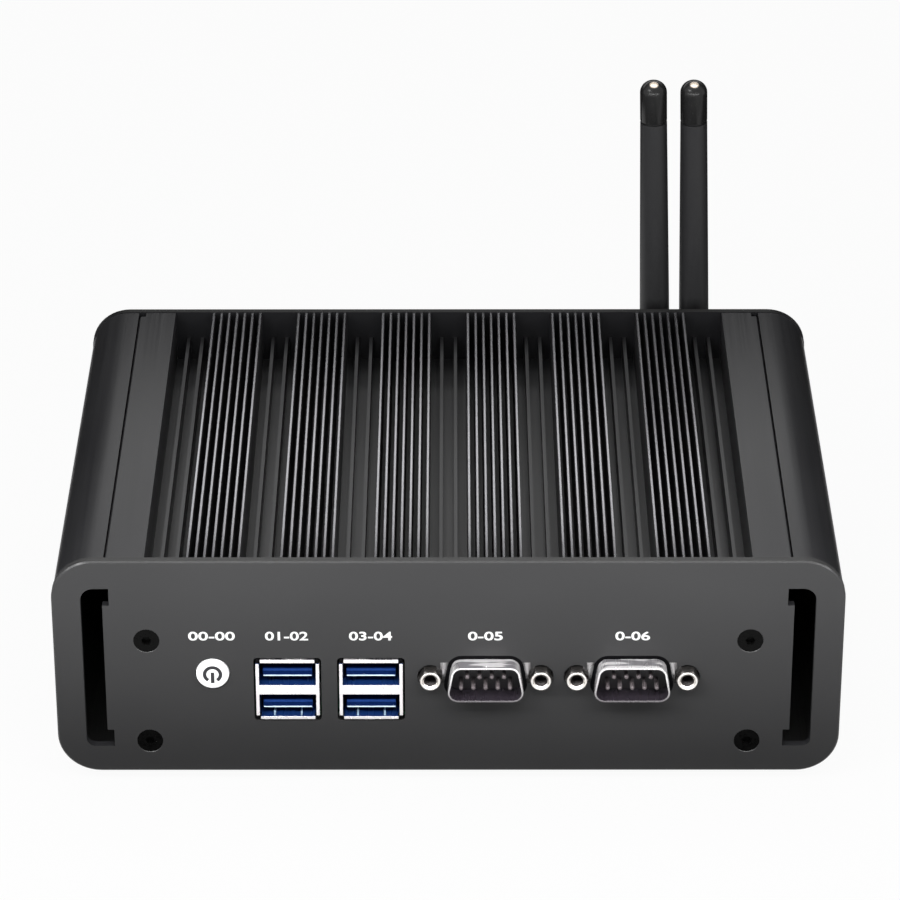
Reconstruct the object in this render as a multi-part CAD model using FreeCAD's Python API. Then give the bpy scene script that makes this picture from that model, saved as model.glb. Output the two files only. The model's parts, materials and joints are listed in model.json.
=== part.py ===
import FreeCAD, Part
import math
import os

Vector = FreeCAD.Vector

# Fanless industrial computer.  Millimetres.
# Everything is drawn in case coordinates: X across, Y from the front face
# towards the back, Z up from the lower edge of the end panels.  Each piece is
# moved by ORIGIN_SHIFT when it is saved, so that the origin lies on the
# standing plane, in the middle of the overall outline.

# ------------------------------------------------------------------ the case
CASE_W = 178.0            # width of the end panels
CASE_H = 55.0             # height of the end panels
CASE_D = 128.0            # depth over both end panels
CORNER_R = 9.6            # corner radius of the end panels
PANEL_T = 2.0             # thickness of the end panels
PANEL_CHAMFER = 0.35      # bevel round the outer face of each panel
SKIN_INSET = 0.2          # the extrusions lie this far inside the panel outline
FIT_GAP = 0.3             # gap between the heatsink and the chassis walls

# ---------------------------------------------------------- chassis extrusion
FLOOR_T = 2.8             # floor thickness
SIDE_WALL_T = 2.0         # outer wall of the side duct
DUCT_W = 10.8             # width of the side air duct
INNER_WALL_T = 2.0        # wall between the duct and the board bay
LEDGE_DROP = 2.8          # the heatsink's side band is this thick and sits on a ledge
LEDGE_T = 2.0             # roof of the duct below that ledge
SEAM_INSET = 11.9         # seam between heatsink and chassis, from the case side
DUCT_CORNER_R = 0.8       # inner corners of the duct

# ---------------------------------------------------------- heatsink extrusion
FIN_H = 12.8              # fin height above the channel floor
HEATSINK_BASE_T = 4.0     # base plate under the fins
FIN_PITCH = 1.915
FIN_TIP_T = 0.65
FIN_ROOT_T = 0.95
FINS_PER_GROUP = 7
GROUP_PITCH = 21.065      # spacing of the fin groups
CHANNEL_MIN = 4.0         # least width kept between the last fin and the band
RIB_H = 6.0               # low ribs standing in the channels
RIB_T = 0.8
RIB_OFFSET = 1.7          # rib centre from the middle of its channel
BAND_INSET = 21.0         # inner edge of the flat side band, from the case side
BAND_WALL_T = 2.0         # wall that carries the band
EDGE_BEVEL = 0.3          # bevel along the seam edge of the band
NOTCH_W = 1.5             # relief in the band at the back end of the seam
NOTCH_D = 2.0

# ------------------------------------------------------------ panel fastening
SCREW_R = 1.47            # M3 thread, drawn plain
THREAD_BORE_R = 1.5       # M3 tapped bore, drawn plain
CLEAR_BORE_R = 1.6        # clearance hole in the panel
COUNTERSINK_R = 3.0       # countersink radius at the panel face
HEAD_GAP = 0.05           # running gap round a countersunk head
SCREW_L = 10.0            # overall length of a panel screw
SOCKET_AF = 2.0           # hexagon socket, across flats
SOCKET_DEPTH = 1.2
PORT_R = 3.2              # screw port of the extrusions
PORT_WEB_T = 3.0          # web that joins a screw port to its plate
SCREW_INSET = 21.0        # screw line from the case side
LOWER_PORT_LIFT = 5.1     # lower screw line above the floor
UPPER_PORT_DROP = 3.5     # upper screw line below the heatsink base

# ------------------------------------------------------------------ air slots
SLOT_INSET = 6.5          # outer edge of the C-shaped slot, from the case side
SLOT_W = 4.9
SLOT_BOTTOM = 6.75
SLOT_TOP_DROP = 7.0       # top of the slot below the panel's top edge
SLOT_HOOK_W = 1.5         # the slot's ends hook towards the middle by this much
SLOT_HOOK_H = 4.3
SLOT_TOP_R = 3.0
SLOT_BOTTOM_R = 2.0

# ----------------------------------------------------------------- feet, wall
FOOT_H = 2.5              # feet below the panels' lower edge
FOOT_R = 6.0
FOOT_BEVEL = 0.8
FOOT_INSET_X = 19.0       # foot centre from the case side
FOOT_INSET_Y = 18.0       # foot centre from the panel face
WALL_PITCH = 75.0         # square pattern of tapped holes in the floor
WALL_BORE_R = 2.0         # M4

# ------------------------------------------------------------------ mainboard
STANDOFF_H = 9.4          # floor to the underside of the board
STANDOFF_AF = 5.0
STANDOFF_PEG_R = 1.95     # pressed into the floor
STANDOFF_PEG_L = 1.6
PEG_FIT = 0.03
BOARD_T = 1.6
BOARD_SIDE_GAP = 4.0      # board edge to the bay wall
BOARD_END_GAP = 1.0       # board edge to each panel
BOARD_HOLE_R = 1.7
BOARD_HOLE_INSET_X = 10.0
BOARD_HOLE_FRONT = 11.0   # front fixings behind the board's front edge
BOARD_HOLE_BACK = 18.0    # back fixings before its back edge
BOARD_MID_X = 24.0        # two more fixings near the back connectors
BOARD_MID_INSET_Y = 25.0
PAN_HEAD_R = 2.8
PAN_HEAD_H = 1.6
BOARD_SCREW_L = 6.0       # below the head

# ------------------------------------------------------------------- USB pair
USB_X = (-36.4, -17.5)
USB_W = 14.4
USB_H = 15.6
USB_L = 17.6
USB_PROUD = 0.3           # shell in front of the panel face
USB_SKIN = 0.3            # sheet thickness of the shell
USB_LIP = 0.8             # folded lips round the mouth
USB_BAR = 2.5             # spacer between the two ports
USB_NOTCH = 1.0           # corner notches between the lips
USB_NOTCH_D = 1.6
USB_MOUTH_D = 11.0        # depth of each port
USB_CUT_GAP = 0.45        # panel cut-out round the shell
USB_CUT_R = 0.9
TONGUE_W = 11.1
TONGUE_T = 1.85
TONGUE_DROP = 2.1         # top of the tongue below the port's roof
TONGUE_SET_BACK = 1.0     # tongue end behind the mouth
TONGUE_BEVEL = 0.37

# ---------------------------------------------------------------- serial port
COM_X = (8.4, 41.5)
COM_LIFT = 11.2           # connector centre above the board
COM_REACH = 4.0           # shell in front of the panel face
COM_W = 18.0              # outside of the D-shaped shell at its wide side, before rounding
COM_H = 9.0
COM_SLOPE = 10.0          # degrees, slope of the D's sides
COM_R = 2.4
COM_SKIN = 0.45
COM_FLANGE_W = 30.8
COM_FLANGE_H = 12.5
COM_FLANGE_T = 1.0
COM_FLANGE_R = 1.2
COM_CUT_GAP = 0.7         # panel cut-out round the D
COM_BAR_W = 20.4          # the cut-out widens here towards the jackscrews
COM_BAR_LOW = -1.8
COM_BAR_HIGH = 3.6
JACK_PITCH = 24.99
JACK_AF = 4.75
JACK_L = 4.5
JACK_BORE_R = 1.42
JACK_BORE_D = 3.9
JACK_STUD_R = 1.36
JACK_STUD_L = 5.5
JACK_BOSS_R = 2.6
JACK_BOSS_L = 3.5
JACK_CUT_R = 2.95
COM_BODY_W = 19.0
COM_BODY_D = 9.5          # insulator behind the flange
COM_BODY_OVER = 5.3       # insulator above the connector centre
PIN_R = 0.5
PIN_PITCH = 2.77
PIN_ROW_GAP = 2.84
PIN_SET_BACK = 0.8        # pin ends behind the shell's rim
PIN_FIT = 0.02
PIN_TAIL_GAP = 1.5        # first row of tails behind the insulator
PIN_TAIL_STEP = 1.8
COM_FACE_BACK = 5.2       # insulator face behind the shell's rim

# --------------------------------------------------------------- power button
BUTTON_X = -53.3
BUTTON_LIFT = 12.0        # button centre above the board
BUTTON_R = 3.75
BUTTON_GAP = 0.2          # radial gap in the panel hole
BUTTON_PROUD = 0.5
BUTTON_FLANGE_R = 4.8
BUTTON_FLANGE_T = 0.8
BUTTON_SEAT_GAP = 0.1     # flange behind the panel
BUTTON_STEM_R = 1.7
BUTTON_TRAVEL = 0.8
BUTTON_BEVEL = 0.3
SWITCH_SIZE = 6.0
SWITCH_T = 3.5
SWITCH_GAP = 2.0          # flange to switch face
STEM_FIT = 0.1
STEM_ENTRY = 0.5          # stem inside the switch at rest
RISER_W = 14.0
RISER_T = 1.2
RISER_OVER = 5.5          # riser board above the button centre

# ---------------------------------------------------- processor and spreader
CPU_SIZE = 27.0
CPU_T = 1.0
DIE_X = 12.0
DIE_Y = 10.0
DIE_T = 0.8
PAD_T = 0.5
PAD_OVER = 1.0            # pad beyond the die on each side
CPU_Y = 62.0
SPREADER_SIZE = 44.0
SPREADER_BEVEL = 1.0
SPREADER_BOLT = 34.0      # square pattern of the spreader screws
SPREADER_BORE_R = 1.7
SPREADER_SINK_R = 3.1
SPREADER_SINK_D = 2.4
SPREADER_HEAD_H = 2.0
SPREADER_ENGAGE = 3.0     # screw length inside the heatsink base

# ------------------------------------------------------------- plug-in boards
MEMORY_X = -48.0          # middle of the memory module
MEMORY_L = 67.6
MEMORY_W = 30.0
MEMORY_T = 1.2
MEMORY_LIFT = 2.2         # underside of the module above the board
MEMORY_CHIPS = 4
MEMORY_CHIP_X0 = 9.0      # chips start this far from the plugged edge
MEMORY_CHIP_X1 = 7.0      # and end this far from the free edge
MEMORY_CHIP_L = 10.0
MEMORY_CHIP_T = 1.0
MEMORY_ENTRY = 3.0        # module edge inside its socket
MEMORY_SOCKET_W = 6.0
MEMORY_SOCKET_H = 4.6
MEMORY_ARM_W = 2.4
CARD_W = 22.0
CARD_T = 0.8
CARD_LIFT = 2.6           # underside of a card above the board
CARD_ENTRY = 2.0
CARD_SOCKET_D = 8.0
CARD_SOCKET_H = 4.2
CARD_CHIP_T = 1.4
DRIVE_CHIPS = 3
DRIVE_CHIP_W = 14.0
DRIVE_CHIP_L = 12.0
DRIVE_CHIP_PITCH = 15.0
DRIVE_CHIP_START = 14.0   # first chip's middle from the plugged edge
RADIO_CAN_W = 16.0
RADIO_CAN_Y0 = 5.0        # shield can from the plugged edge
RADIO_CAN_L = 15.0
CARD_GAP = 0.05
DRIVE_X = 34.5
DRIVE_L = 60.0
RADIO_X = 57.5
RADIO_L = 30.0
CARD_END_Y = 90.0         # both cards end here
CARD_NOTCH_R = 1.75
CARD_POST_R = 2.6
CARD_SCREW_R = 1.2
CARD_SCREW_HEAD_R = 2.4
CARD_SCREW_HEAD_H = 0.8
CELL_X = 57.5
CELL_Y = 37.0
CELL_R = 10.0
CELL_T = 3.2
CELL_HOLDER_R = 11.5
CELL_HOLDER_H = 5.0
CELL_HOLDER_FLOOR = 1.0
CAN_R = 3.15
CAN_H = 6.0
CAN_X = (-16.0, -8.0, 0.0, 8.0, 16.0)
CAN_Y = 33.0
COIL_SIZE = 7.0
COIL_H = 4.0
COIL_X = (-12.0, 0.0, 12.0)
COIL_Y = 92.0

# ---------------------------------------------------------- back connectors
DC_X = -55.0
DC_W = 9.0
DC_H = 11.0
DC_L = 14.0
DC_BARREL_R = 4.0
DC_BORE_R = 3.1
DC_BORE_D = 9.5
DC_PIN_R = 1.0
DC_PIN_BACK = 0.8         # pin end inside the barrel's mouth
BACK_PROUD = 0.3          # connectors behind the panel's outer face
BACK_CUT_GAP = 0.3
HDMI_X = -34.0
HDMI_W = 15.0
HDMI_H = 6.0
HDMI_L = 12.0
HDMI_SKIN = 0.4
HDMI_STEP = 2.2           # lower corners of the HDMI mouth step in
HDMI_TONGUE_W = 11.0
HDMI_TONGUE_T = 1.2
HDMI_BLOCK = 3.0
LAN_X = -2.0
LAN_PITCH = 16.2
LAN_W = 33.0
LAN_H = 14.0
LAN_L = 21.5
LAN_SKIN = 0.4
LAN_MOUTH_W = 11.8
LAN_MOUTH_H = 7.4
LAN_MOUTH_Z = 3.8         # mouth above the board
LAN_MOUTH_D = 14.0
LAN_LATCH_W = 6.2
LAN_LATCH_H = 1.8

# ------------------------------------------------------------------- antennas
ANTENNA_MID_X = 57.9      # halfway between the two antennas
ANTENNA_GAP = 1.4         # between the two elbows
ANTENNA_Z = 27.0          # antenna jack above the panel's lower edge
ANTENNA_LEAN = 1.5        # degrees, both masts lean towards -X
ANTENNA_REACH = 19.0      # hinge pin behind the back panel
JACK_R = 3.17
JACK_OUT = 8.0            # jack behind the back panel
JACK_HEX_AF = 8.0
JACK_HEX_T = 2.0
JACK_TAIL_R = 1.8
JACK_TAIL_L = 6.0
JACK_HOLE_GAP = 0.1
WASHER_R = 4.3
WASHER_T = 0.6
NUT_AF = 8.0
NUT_T = 2.0
COUPLER_R = 4.2
COUPLER_GAP = 0.3         # coupler behind the nut, elbow behind the coupler
COUPLER_L = 6.4
COUPLER_WALL_END = 0.9    # closed end of the coupler
THREAD_FIT = 0.05
NECK_R = 3.0
NECK_L = 4.0
NECK_FIT = 0.05
ELBOW_R = 4.3
EAR_R = 4.2               # rounded ends of the elbow's fork
FORK_SLOT_W = 4.2
KNUCKLE_W = 4.0           # mast knuckle between the ears
KNUCKLE_R = 4.1
KNUCKLE_GAP = 0.3         # knuckle to the root of the fork
HINGE_PIN_R = 1.2
HINGE_FIT = 0.04
MAST_START = 6.5          # round mast begins here, above the pin
MAST_ROOT_R = 3.85
MAST_TIP_R = 3.35
MAST_L = 70.5             # pin to the joint line of the cap
CAP_L = 11.0
CAP_GROOVE = 0.12
COAX_R = 0.65
COAX_PLUG_R = 1.4
COAX_PLUG_H = 1.3
COAX_CARD_BACK = 6.0      # coax socket from the card's end
COAX_ENTRY = 9.0          # straight coax behind the jack
COAX_LAY = 8.0            # straight coax over the card
COAX_BEND_SHARE = 0.45    # part of the shorter run that a bend uses

# ------------------------------------------------------------ derived places
HALF_W = CASE_W / 2
SKIN_TOP = CASE_H - SKIN_INSET
FLOOR_TOP = SKIN_INSET + FLOOR_T
BAY_X = HALF_W - SKIN_INSET - SIDE_WALL_T - DUCT_W - INNER_WALL_T
DUCT_X = BAY_X + INNER_WALL_T
LEDGE_Z = SKIN_TOP - LEDGE_DROP
SEAM_X = HALF_W - SEAM_INSET
BAND_X = HALF_W - BAND_INSET
CHANNEL_Z = SKIN_TOP - FIN_H
BASE_Z = CHANNEL_Z - HEATSINK_BASE_T
BACK_Y = CASE_D - PANEL_T
SCREW_X = HALF_W - SCREW_INSET
LOWER_SCREW_Z = FLOOR_TOP + LOWER_PORT_LIFT
UPPER_SCREW_Z = BASE_Z - UPPER_PORT_DROP
BOARD_Z = FLOOR_TOP + STANDOFF_H
BOARD_TOP = BOARD_Z + BOARD_T
BOARD_X = BAY_X - BOARD_SIDE_GAP
BOARD_Y0 = PANEL_T + BOARD_END_GAP
BOARD_Y1 = BACK_Y - BOARD_END_GAP
USB_Z = BOARD_TOP + USB_H / 2
USB_PORT_H = (USB_H - USB_BAR - 2 * USB_LIP) / 2
COM_Z = BOARD_TOP + COM_LIFT
FLANGE_BACK = PANEL_T + COM_FLANGE_T
BUTTON_Z = BOARD_TOP + BUTTON_LIFT
SWITCH_Y = PANEL_T + BUTTON_SEAT_GAP + BUTTON_FLANGE_T + SWITCH_GAP
CPU_TOP = BOARD_TOP + CPU_T + DIE_T
SPREADER_Z = CPU_TOP + PAD_T
MEMORY_Y = (BOARD_Y0 + BOARD_Y1) / 2
CARD_Z = BOARD_TOP + CARD_LIFT
DC_Z = BOARD_TOP + DC_H / 2
HDMI_Z = BOARD_TOP + HDMI_H / 2
LAN_Z = BOARD_TOP + LAN_H / 2
ANTENNA_X = [ANTENNA_MID_X + side * (ELBOW_R + ANTENNA_GAP / 2) for side in (-1, 1)]
HINGE_Y = CASE_D + ANTENNA_REACH
COUPLER_Y = CASE_D + WASHER_T + NUT_T + COUPLER_GAP
ELBOW_Y = COUPLER_Y + COUPLER_L + COUPLER_GAP
OVERALL_D = COM_REACH + CASE_D + ANTENNA_REACH + EAR_R
ORIGIN_SHIFT = Vector(0, COM_REACH - OVERALL_D / 2, FOOT_H)
BOARD_FIXINGS = [
    (side * (BOARD_X - BOARD_HOLE_INSET_X), y)
    for side in (-1, 1)
    for y in (BOARD_Y0 + BOARD_HOLE_FRONT, BOARD_Y1 - BOARD_HOLE_BACK)
] + [(side * BOARD_MID_X, BOARD_Y1 - BOARD_MID_INSET_Y) for side in (-1, 1)]
PANEL_SCREWS = [(side * SCREW_X, z) for side in (-1, 1) for z in (LOWER_SCREW_Z, UPPER_SCREW_Z)]

AXES = {"X": Vector(1, 0, 0), "Y": Vector(0, 1, 0), "Z": Vector(0, 0, 1)}
OVERRUN = 1.0             # cutting bodies run past the faces they cut by this much
TOUCH = 0.01              # places closer than this count as the same


# ------------------------------------------------------------- shape helpers
def block(x0, x1, y0, y1, z0, z1):
    """Box between two corners."""
    return Part.makeBox(x1 - x0, y1 - y0, z1 - z0, Vector(x0, y0, z0))


def rod(radius, start, length, axis="Y"):
    """Cylinder from a start point along a main axis."""
    return Part.makeCylinder(radius, length, Vector(*start), AXES[axis])


def cone(r0, r1, start, length, axis="Y"):
    """Cone from radius r0 at the start point to r1."""
    return Part.makeCone(r0, r1, length, Vector(*start), AXES[axis])


def along(shape, axis):
    """Straight edges of a shape that run along a main axis."""
    way = AXES[axis]
    straight = [edge for edge in shape.Edges if isinstance(edge.Curve, Part.Line)]
    return [edge for edge in straight if abs(edge.Curve.Direction.dot(way)) > 0.999]


def rounded_block(x0, x1, y0, y1, z0, z1, radius, axis="Y"):
    """Box with its four edges along one axis rounded."""
    solid = block(x0, x1, y0, y1, z0, z1)
    return solid.makeFillet(radius, along(solid, axis))


def prism(points, y0, y1):
    """Outline of (x, z) points carried from y0 to y1."""
    corners = [Vector(x, y0, z) for x, z in points]
    face = Part.Face(Part.makePolygon(corners + corners[:1]))
    return face.extrude(Vector(0, y1 - y0, 0))


def hex_prism(flats, x, z, y0, y1):
    """Hexagonal prism along Y, given its width across flats."""
    radius = flats / math.sqrt(3)
    angles = [math.radians(60 * i) for i in range(6)]
    return prism([(x + radius * math.cos(a), z + radius * math.sin(a)) for a in angles], y0, y1)


def fuse(first, *others):
    """Union with the seams between coplanar faces removed."""
    return first.multiFuse(list(others)).removeSplitter()


def group(shapes):
    """Several separate solids in one piece of geometry."""
    return Part.makeCompound(list(shapes))


def case_prism(inset, y0, y1):
    """The rounded case outline, drawn inwards by an inset."""
    side = HALF_W - inset
    return rounded_block(-side, side, y0, y1, inset, CASE_H - inset, CORNER_R - inset)


def both_sides(shape):
    """A shape and its mirror image about the middle plane."""
    return shape, shape.mirror(Vector(0, 0, 0), AXES["X"])


# --------------------------------------------------------------- extrusions
def screw_port(z_plate, z):
    """Tubular screw port on the +X side and the web that joins it to its plate."""
    tube = rod(PORT_R, (SCREW_X, PANEL_T, z), BACK_Y - PANEL_T)
    z0, z1 = sorted((z_plate, z))
    half = PORT_WEB_T / 2
    return tube, block(SCREW_X - half, SCREW_X + half, PANEL_T, BACK_Y, z0, z1)


def port_bores(z):
    """The pair of tapped bores along one screw line."""
    return both_sides(rod(THREAD_BORE_R, (SCREW_X, 0, z), CASE_D))


def side_duct():
    """Hollow of the air duct inside the +X wall."""
    shell = case_prism(SKIN_INSET + SIDE_WALL_T, 0, CASE_D)
    window = block(DUCT_X, HALF_W, 0, CASE_D, FLOOR_TOP, LEDGE_Z - LEDGE_T)
    hollow = shell.common(window)
    inner = [edge for edge in along(hollow, "Y") if abs(edge.Vertexes[0].X - DUCT_X) < TOUCH]
    return hollow.makeFillet(DUCT_CORNER_R, inner)


def chassis():
    """Lower extrusion: floor, side ducts and rounded upper corners, open on top."""
    body = case_prism(SKIN_INSET, PANEL_T, BACK_Y)
    seat = block(-SEAM_X, SEAM_X, 0, CASE_D, LEDGE_Z, CASE_H)
    bay = block(-BAY_X, BAY_X, 0, CASE_D, FLOOR_TOP, CASE_H)
    body = body.cut([seat, bay, *both_sides(side_duct())])
    ports = []
    for piece in screw_port(FLOOR_TOP - FLOOR_T / 2, LOWER_SCREW_Z):
        ports.extend(both_sides(piece))
    body = fuse(body, *ports)
    drills = list(port_bores(LOWER_SCREW_Z))
    half = WALL_PITCH / 2
    for x in (-half, half):
        for y in (CASE_D / 2 - half, CASE_D / 2 + half):
            drills.append(rod(WALL_BORE_R, (x, y, -OVERRUN), FLOOR_TOP + 2 * OVERRUN, "Z"))
    for x, y in BOARD_FIXINGS:
        depth = STANDOFF_PEG_L + PEG_FIT
        drills.append(rod(STANDOFF_PEG_R + PEG_FIT, (x, y, FLOOR_TOP - depth), depth + OVERRUN, "Z"))
    return body.cut(drills)


def fin_groups():
    """Middle lines of the fin groups that fit between the side bands."""
    count = int((2 * BAND_X - 2 * CHANNEL_MIN) / GROUP_PITCH)
    return [(i - (count - 1) / 2) * GROUP_PITCH for i in range(count)]


def blades():
    """(x, height, tip, root) of every fin and low rib, from right to left."""
    groups = fin_groups()
    fins = []
    for middle in groups:
        for i in range(FINS_PER_GROUP):
            x = middle + (i - (FINS_PER_GROUP - 1) / 2) * FIN_PITCH
            fins.append((x, FIN_H, FIN_TIP_T, FIN_ROOT_T))
    channels = [middle - GROUP_PITCH / 2 for middle in groups] + [groups[-1] + GROUP_PITCH / 2]
    for middle in channels:
        for x in (middle - RIB_OFFSET, middle + RIB_OFFSET):
            if abs(x) + RIB_T < BAND_X:
                fins.append((x, RIB_H, RIB_T, RIB_T))
    return sorted(fins, reverse=True)


def heatsink():
    """Top extrusion: finned base plate, side bands and two screw ports below."""
    base_x = BAY_X - FIT_GAP
    band_out = SEAM_X - FIT_GAP
    wall_x = BAND_X + BAND_WALL_T
    right = [
        (base_x, BASE_Z),
        (base_x, CHANNEL_Z),
        (wall_x, CHANNEL_Z),
        (wall_x, LEDGE_Z),
        (band_out, LEDGE_Z),
        (band_out, SKIN_TOP - EDGE_BEVEL),
        (band_out - EDGE_BEVEL, SKIN_TOP),
        (BAND_X, SKIN_TOP),
        (BAND_X, CHANNEL_Z),
    ]
    comb = []
    for x, height, tip, root in blades():
        comb.append((x + root / 2, CHANNEL_Z))
        comb.append((x + tip / 2, CHANNEL_Z + height))
        comb.append((x - tip / 2, CHANNEL_Z + height))
        comb.append((x - root / 2, CHANNEL_Z))
    left = [(-x, z) for x, z in reversed(right)]
    body = prism(right + comb + left, PANEL_T, BACK_Y)
    ports = []
    for piece in screw_port(BASE_Z + HEATSINK_BASE_T / 2, UPPER_SCREW_Z):
        ports.extend(both_sides(piece))
    body = fuse(body, *ports)
    notch = block(band_out - NOTCH_W, CASE_W, BACK_Y - NOTCH_D, CASE_D, LEDGE_Z - OVERRUN, CASE_H)
    drills = [*port_bores(UPPER_SCREW_Z), *both_sides(notch)]
    for x, y in spreader_bolts():
        drills.append(rod(THREAD_BORE_R, (x, y, BASE_Z - OVERRUN), SPREADER_ENGAGE + OVERRUN, "Z"))
    return body.cut(drills)


# -------------------------------------------------------------------- panels
def air_slot():
    """C-shaped slot on the +X side, cut through a panel at the front."""
    x1 = HALF_W - SLOT_INSET
    x0 = x1 - SLOT_W
    z1 = CASE_H - SLOT_TOP_DROP
    y0, y1 = -OVERRUN, PANEL_T + OVERRUN
    bar = block(x0, x1, y0, y1, SLOT_BOTTOM, z1)
    outer = [edge for edge in along(bar, "Y") if edge.Vertexes[0].X > x0 + TOUCH]
    upper = [edge for edge in outer if edge.Vertexes[0].Z > z1 - TOUCH]
    bar = bar.makeFillet(SLOT_TOP_R, upper)
    lower = [edge for edge in along(bar, "Y") if edge.Vertexes[0].X > x1 - TOUCH]
    lower = [edge for edge in lower if edge.Vertexes[0].Z < SLOT_BOTTOM + TOUCH]
    bar = bar.makeFillet(SLOT_BOTTOM_R, lower)
    hooks = [
        block(x0 - SLOT_HOOK_W, x0 + SLOT_HOOK_W, y0, y1, SLOT_BOTTOM, SLOT_BOTTOM + SLOT_HOOK_H),
        block(x0 - SLOT_HOOK_W, x0 + SLOT_HOOK_W, y0, y1, z1 - SLOT_HOOK_H, z1),
    ]
    return fuse(bar, *hooks)


def countersink(x, z):
    """Clearance hole with a 90 degree countersink in the front face."""
    depth = COUNTERSINK_R - CLEAR_BORE_R
    sink = cone(COUNTERSINK_R, CLEAR_BORE_R, (x, 0, z), depth)
    return fuse(sink, rod(CLEAR_BORE_R, (x, 0, z), PANEL_T + OVERRUN))


def blank_panel():
    """Rounded plate at the front, bevelled, with its slots and screw holes."""
    plate = case_prism(0, 0, PANEL_T)
    rim = [edge for edge in plate.Edges if all(abs(v.Y) < TOUCH for v in edge.Vertexes)]
    plate = plate.makeChamfer(PANEL_CHAMFER, rim)
    cuts = list(both_sides(air_slot()))
    cuts.extend(countersink(x, z) for x, z in PANEL_SCREWS)
    return plate.cut(cuts)


def at_back(shape):
    """Turn a piece drawn at the front into the same piece at the back."""
    return shape.mirror(Vector(0, CASE_D / 2, 0), AXES["Y"])


def window(x, z, width, height, radius):
    """Rounded cut-out through a panel at the front."""
    y0, y1 = -OVERRUN, PANEL_T + OVERRUN
    half_w, half_h = width / 2, height / 2
    return rounded_block(x - half_w, x + half_w, y0, y1, z - half_h, z + half_h, radius)


def front_panel():
    """Front plate with the openings for button, USB pairs and serial ports."""
    through = PANEL_T + 2 * OVERRUN
    cuts = [rod(BUTTON_R + BUTTON_GAP, (BUTTON_X, -OVERRUN, BUTTON_Z), through)]
    usb_w = USB_W + 2 * USB_CUT_GAP
    usb_h = USB_H + 2 * USB_CUT_GAP
    cuts.extend(window(x, USB_Z, usb_w, usb_h, USB_CUT_R) for x in USB_X)
    for x in COM_X:
        bar = block(x - COM_BAR_W / 2, x + COM_BAR_W / 2, -OVERRUN, PANEL_T + OVERRUN,
                    COM_Z + COM_BAR_LOW, COM_Z + COM_BAR_HIGH)
        holes = [rod(JACK_CUT_R, (jx, -OVERRUN, COM_Z), through) for jx in jack_places(x)]
        cuts.append(fuse(d_prism(x, COM_CUT_GAP, -OVERRUN, PANEL_T + OVERRUN), bar, *holes))
    return blank_panel().cut(cuts)


def back_panel():
    """Back plate with the openings for the inlet, sockets and antenna jacks."""
    lan_w = LAN_W + 2 * BACK_CUT_GAP
    lan_h = LAN_H + 2 * BACK_CUT_GAP
    through = PANEL_T + 2 * OVERRUN
    cuts = [
        rod(DC_BARREL_R + BACK_CUT_GAP, (DC_X, -OVERRUN, DC_Z), through),
        window(HDMI_X, HDMI_Z, HDMI_W + 2 * BACK_CUT_GAP, HDMI_H + 2 * BACK_CUT_GAP, BACK_CUT_GAP),
        window(LAN_X, LAN_Z, lan_w, lan_h, BACK_CUT_GAP),
    ]
    cuts.extend(rod(JACK_R + JACK_HOLE_GAP, (x, -OVERRUN, ANTENNA_Z), through) for x in ANTENNA_X)
    return at_back(blank_panel().cut(cuts))


def panel_screw(x, z):
    """Countersunk socket screw, its head just below the panel face."""
    head_r = COUNTERSINK_R - 2 * HEAD_GAP
    depth = head_r - SCREW_R
    head = cone(head_r, SCREW_R, (x, HEAD_GAP, z), depth)
    body = fuse(head, rod(SCREW_R, (x, HEAD_GAP, z), SCREW_L))
    return body.cut(hex_prism(SOCKET_AF, x, z, -OVERRUN, HEAD_GAP + SOCKET_DEPTH))


def panel_screws():
    """The screws of both end panels."""
    front = [panel_screw(x, z) for x, z in PANEL_SCREWS]
    return group(front + [at_back(screw) for screw in front])


def foot(side, y):
    """Rubber foot stuck under the floor, bevelled at the bottom."""
    x = side * (HALF_W - FOOT_INSET_X)
    lower = cone(FOOT_R - FOOT_BEVEL, FOOT_R, (x, y, -FOOT_H), FOOT_BEVEL, "Z")
    upper = rod(FOOT_R, (x, y, FOOT_BEVEL - FOOT_H), FOOT_H - FOOT_BEVEL + SKIN_INSET, "Z")
    return fuse(lower, upper)


# ----------------------------------------------------------------- mainboard
def mainboard():
    """Circuit board with its fixing holes."""
    board = block(-BOARD_X, BOARD_X, BOARD_Y0, BOARD_Y1, BOARD_Z, BOARD_TOP)
    return board.cut([rod(BOARD_HOLE_R, (x, y, 0), CASE_H, "Z") for x, y in BOARD_FIXINGS])


def upright_hex(flats, x, y, z0, z1):
    """Hexagonal prism along Z."""
    radius = flats / math.sqrt(3)
    corners = []
    for i in range(6):
        angle = math.radians(60 * i)
        corners.append(Vector(x + radius * math.cos(angle), y + radius * math.sin(angle), z0))
    face = Part.Face(Part.makePolygon(corners + corners[:1]))
    return face.extrude(Vector(0, 0, z1 - z0))


def standoff(x, y):
    """Hexagonal spacer pressed into the floor, tapped through from the top."""
    body = upright_hex(STANDOFF_AF, x, y, FLOOR_TOP, BOARD_Z)
    peg = rod(STANDOFF_PEG_R, (x, y, FLOOR_TOP - STANDOFF_PEG_L), STANDOFF_PEG_L + OVERRUN, "Z")
    bore = rod(THREAD_BORE_R, (x, y, FLOOR_TOP), STANDOFF_H + OVERRUN, "Z")
    return fuse(body, peg).cut(bore)


def board_screw(x, y):
    """Pan head screw with a hexagon socket."""
    head = rod(PAN_HEAD_R, (x, y, BOARD_TOP), PAN_HEAD_H, "Z")
    shank = rod(SCREW_R, (x, y, BOARD_TOP - BOARD_SCREW_L), BOARD_SCREW_L + OVERRUN, "Z")
    top = BOARD_TOP + PAN_HEAD_H
    return fuse(head, shank).cut(upright_hex(SOCKET_AF, x, y, top - SOCKET_DEPTH, top + OVERRUN))


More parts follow.
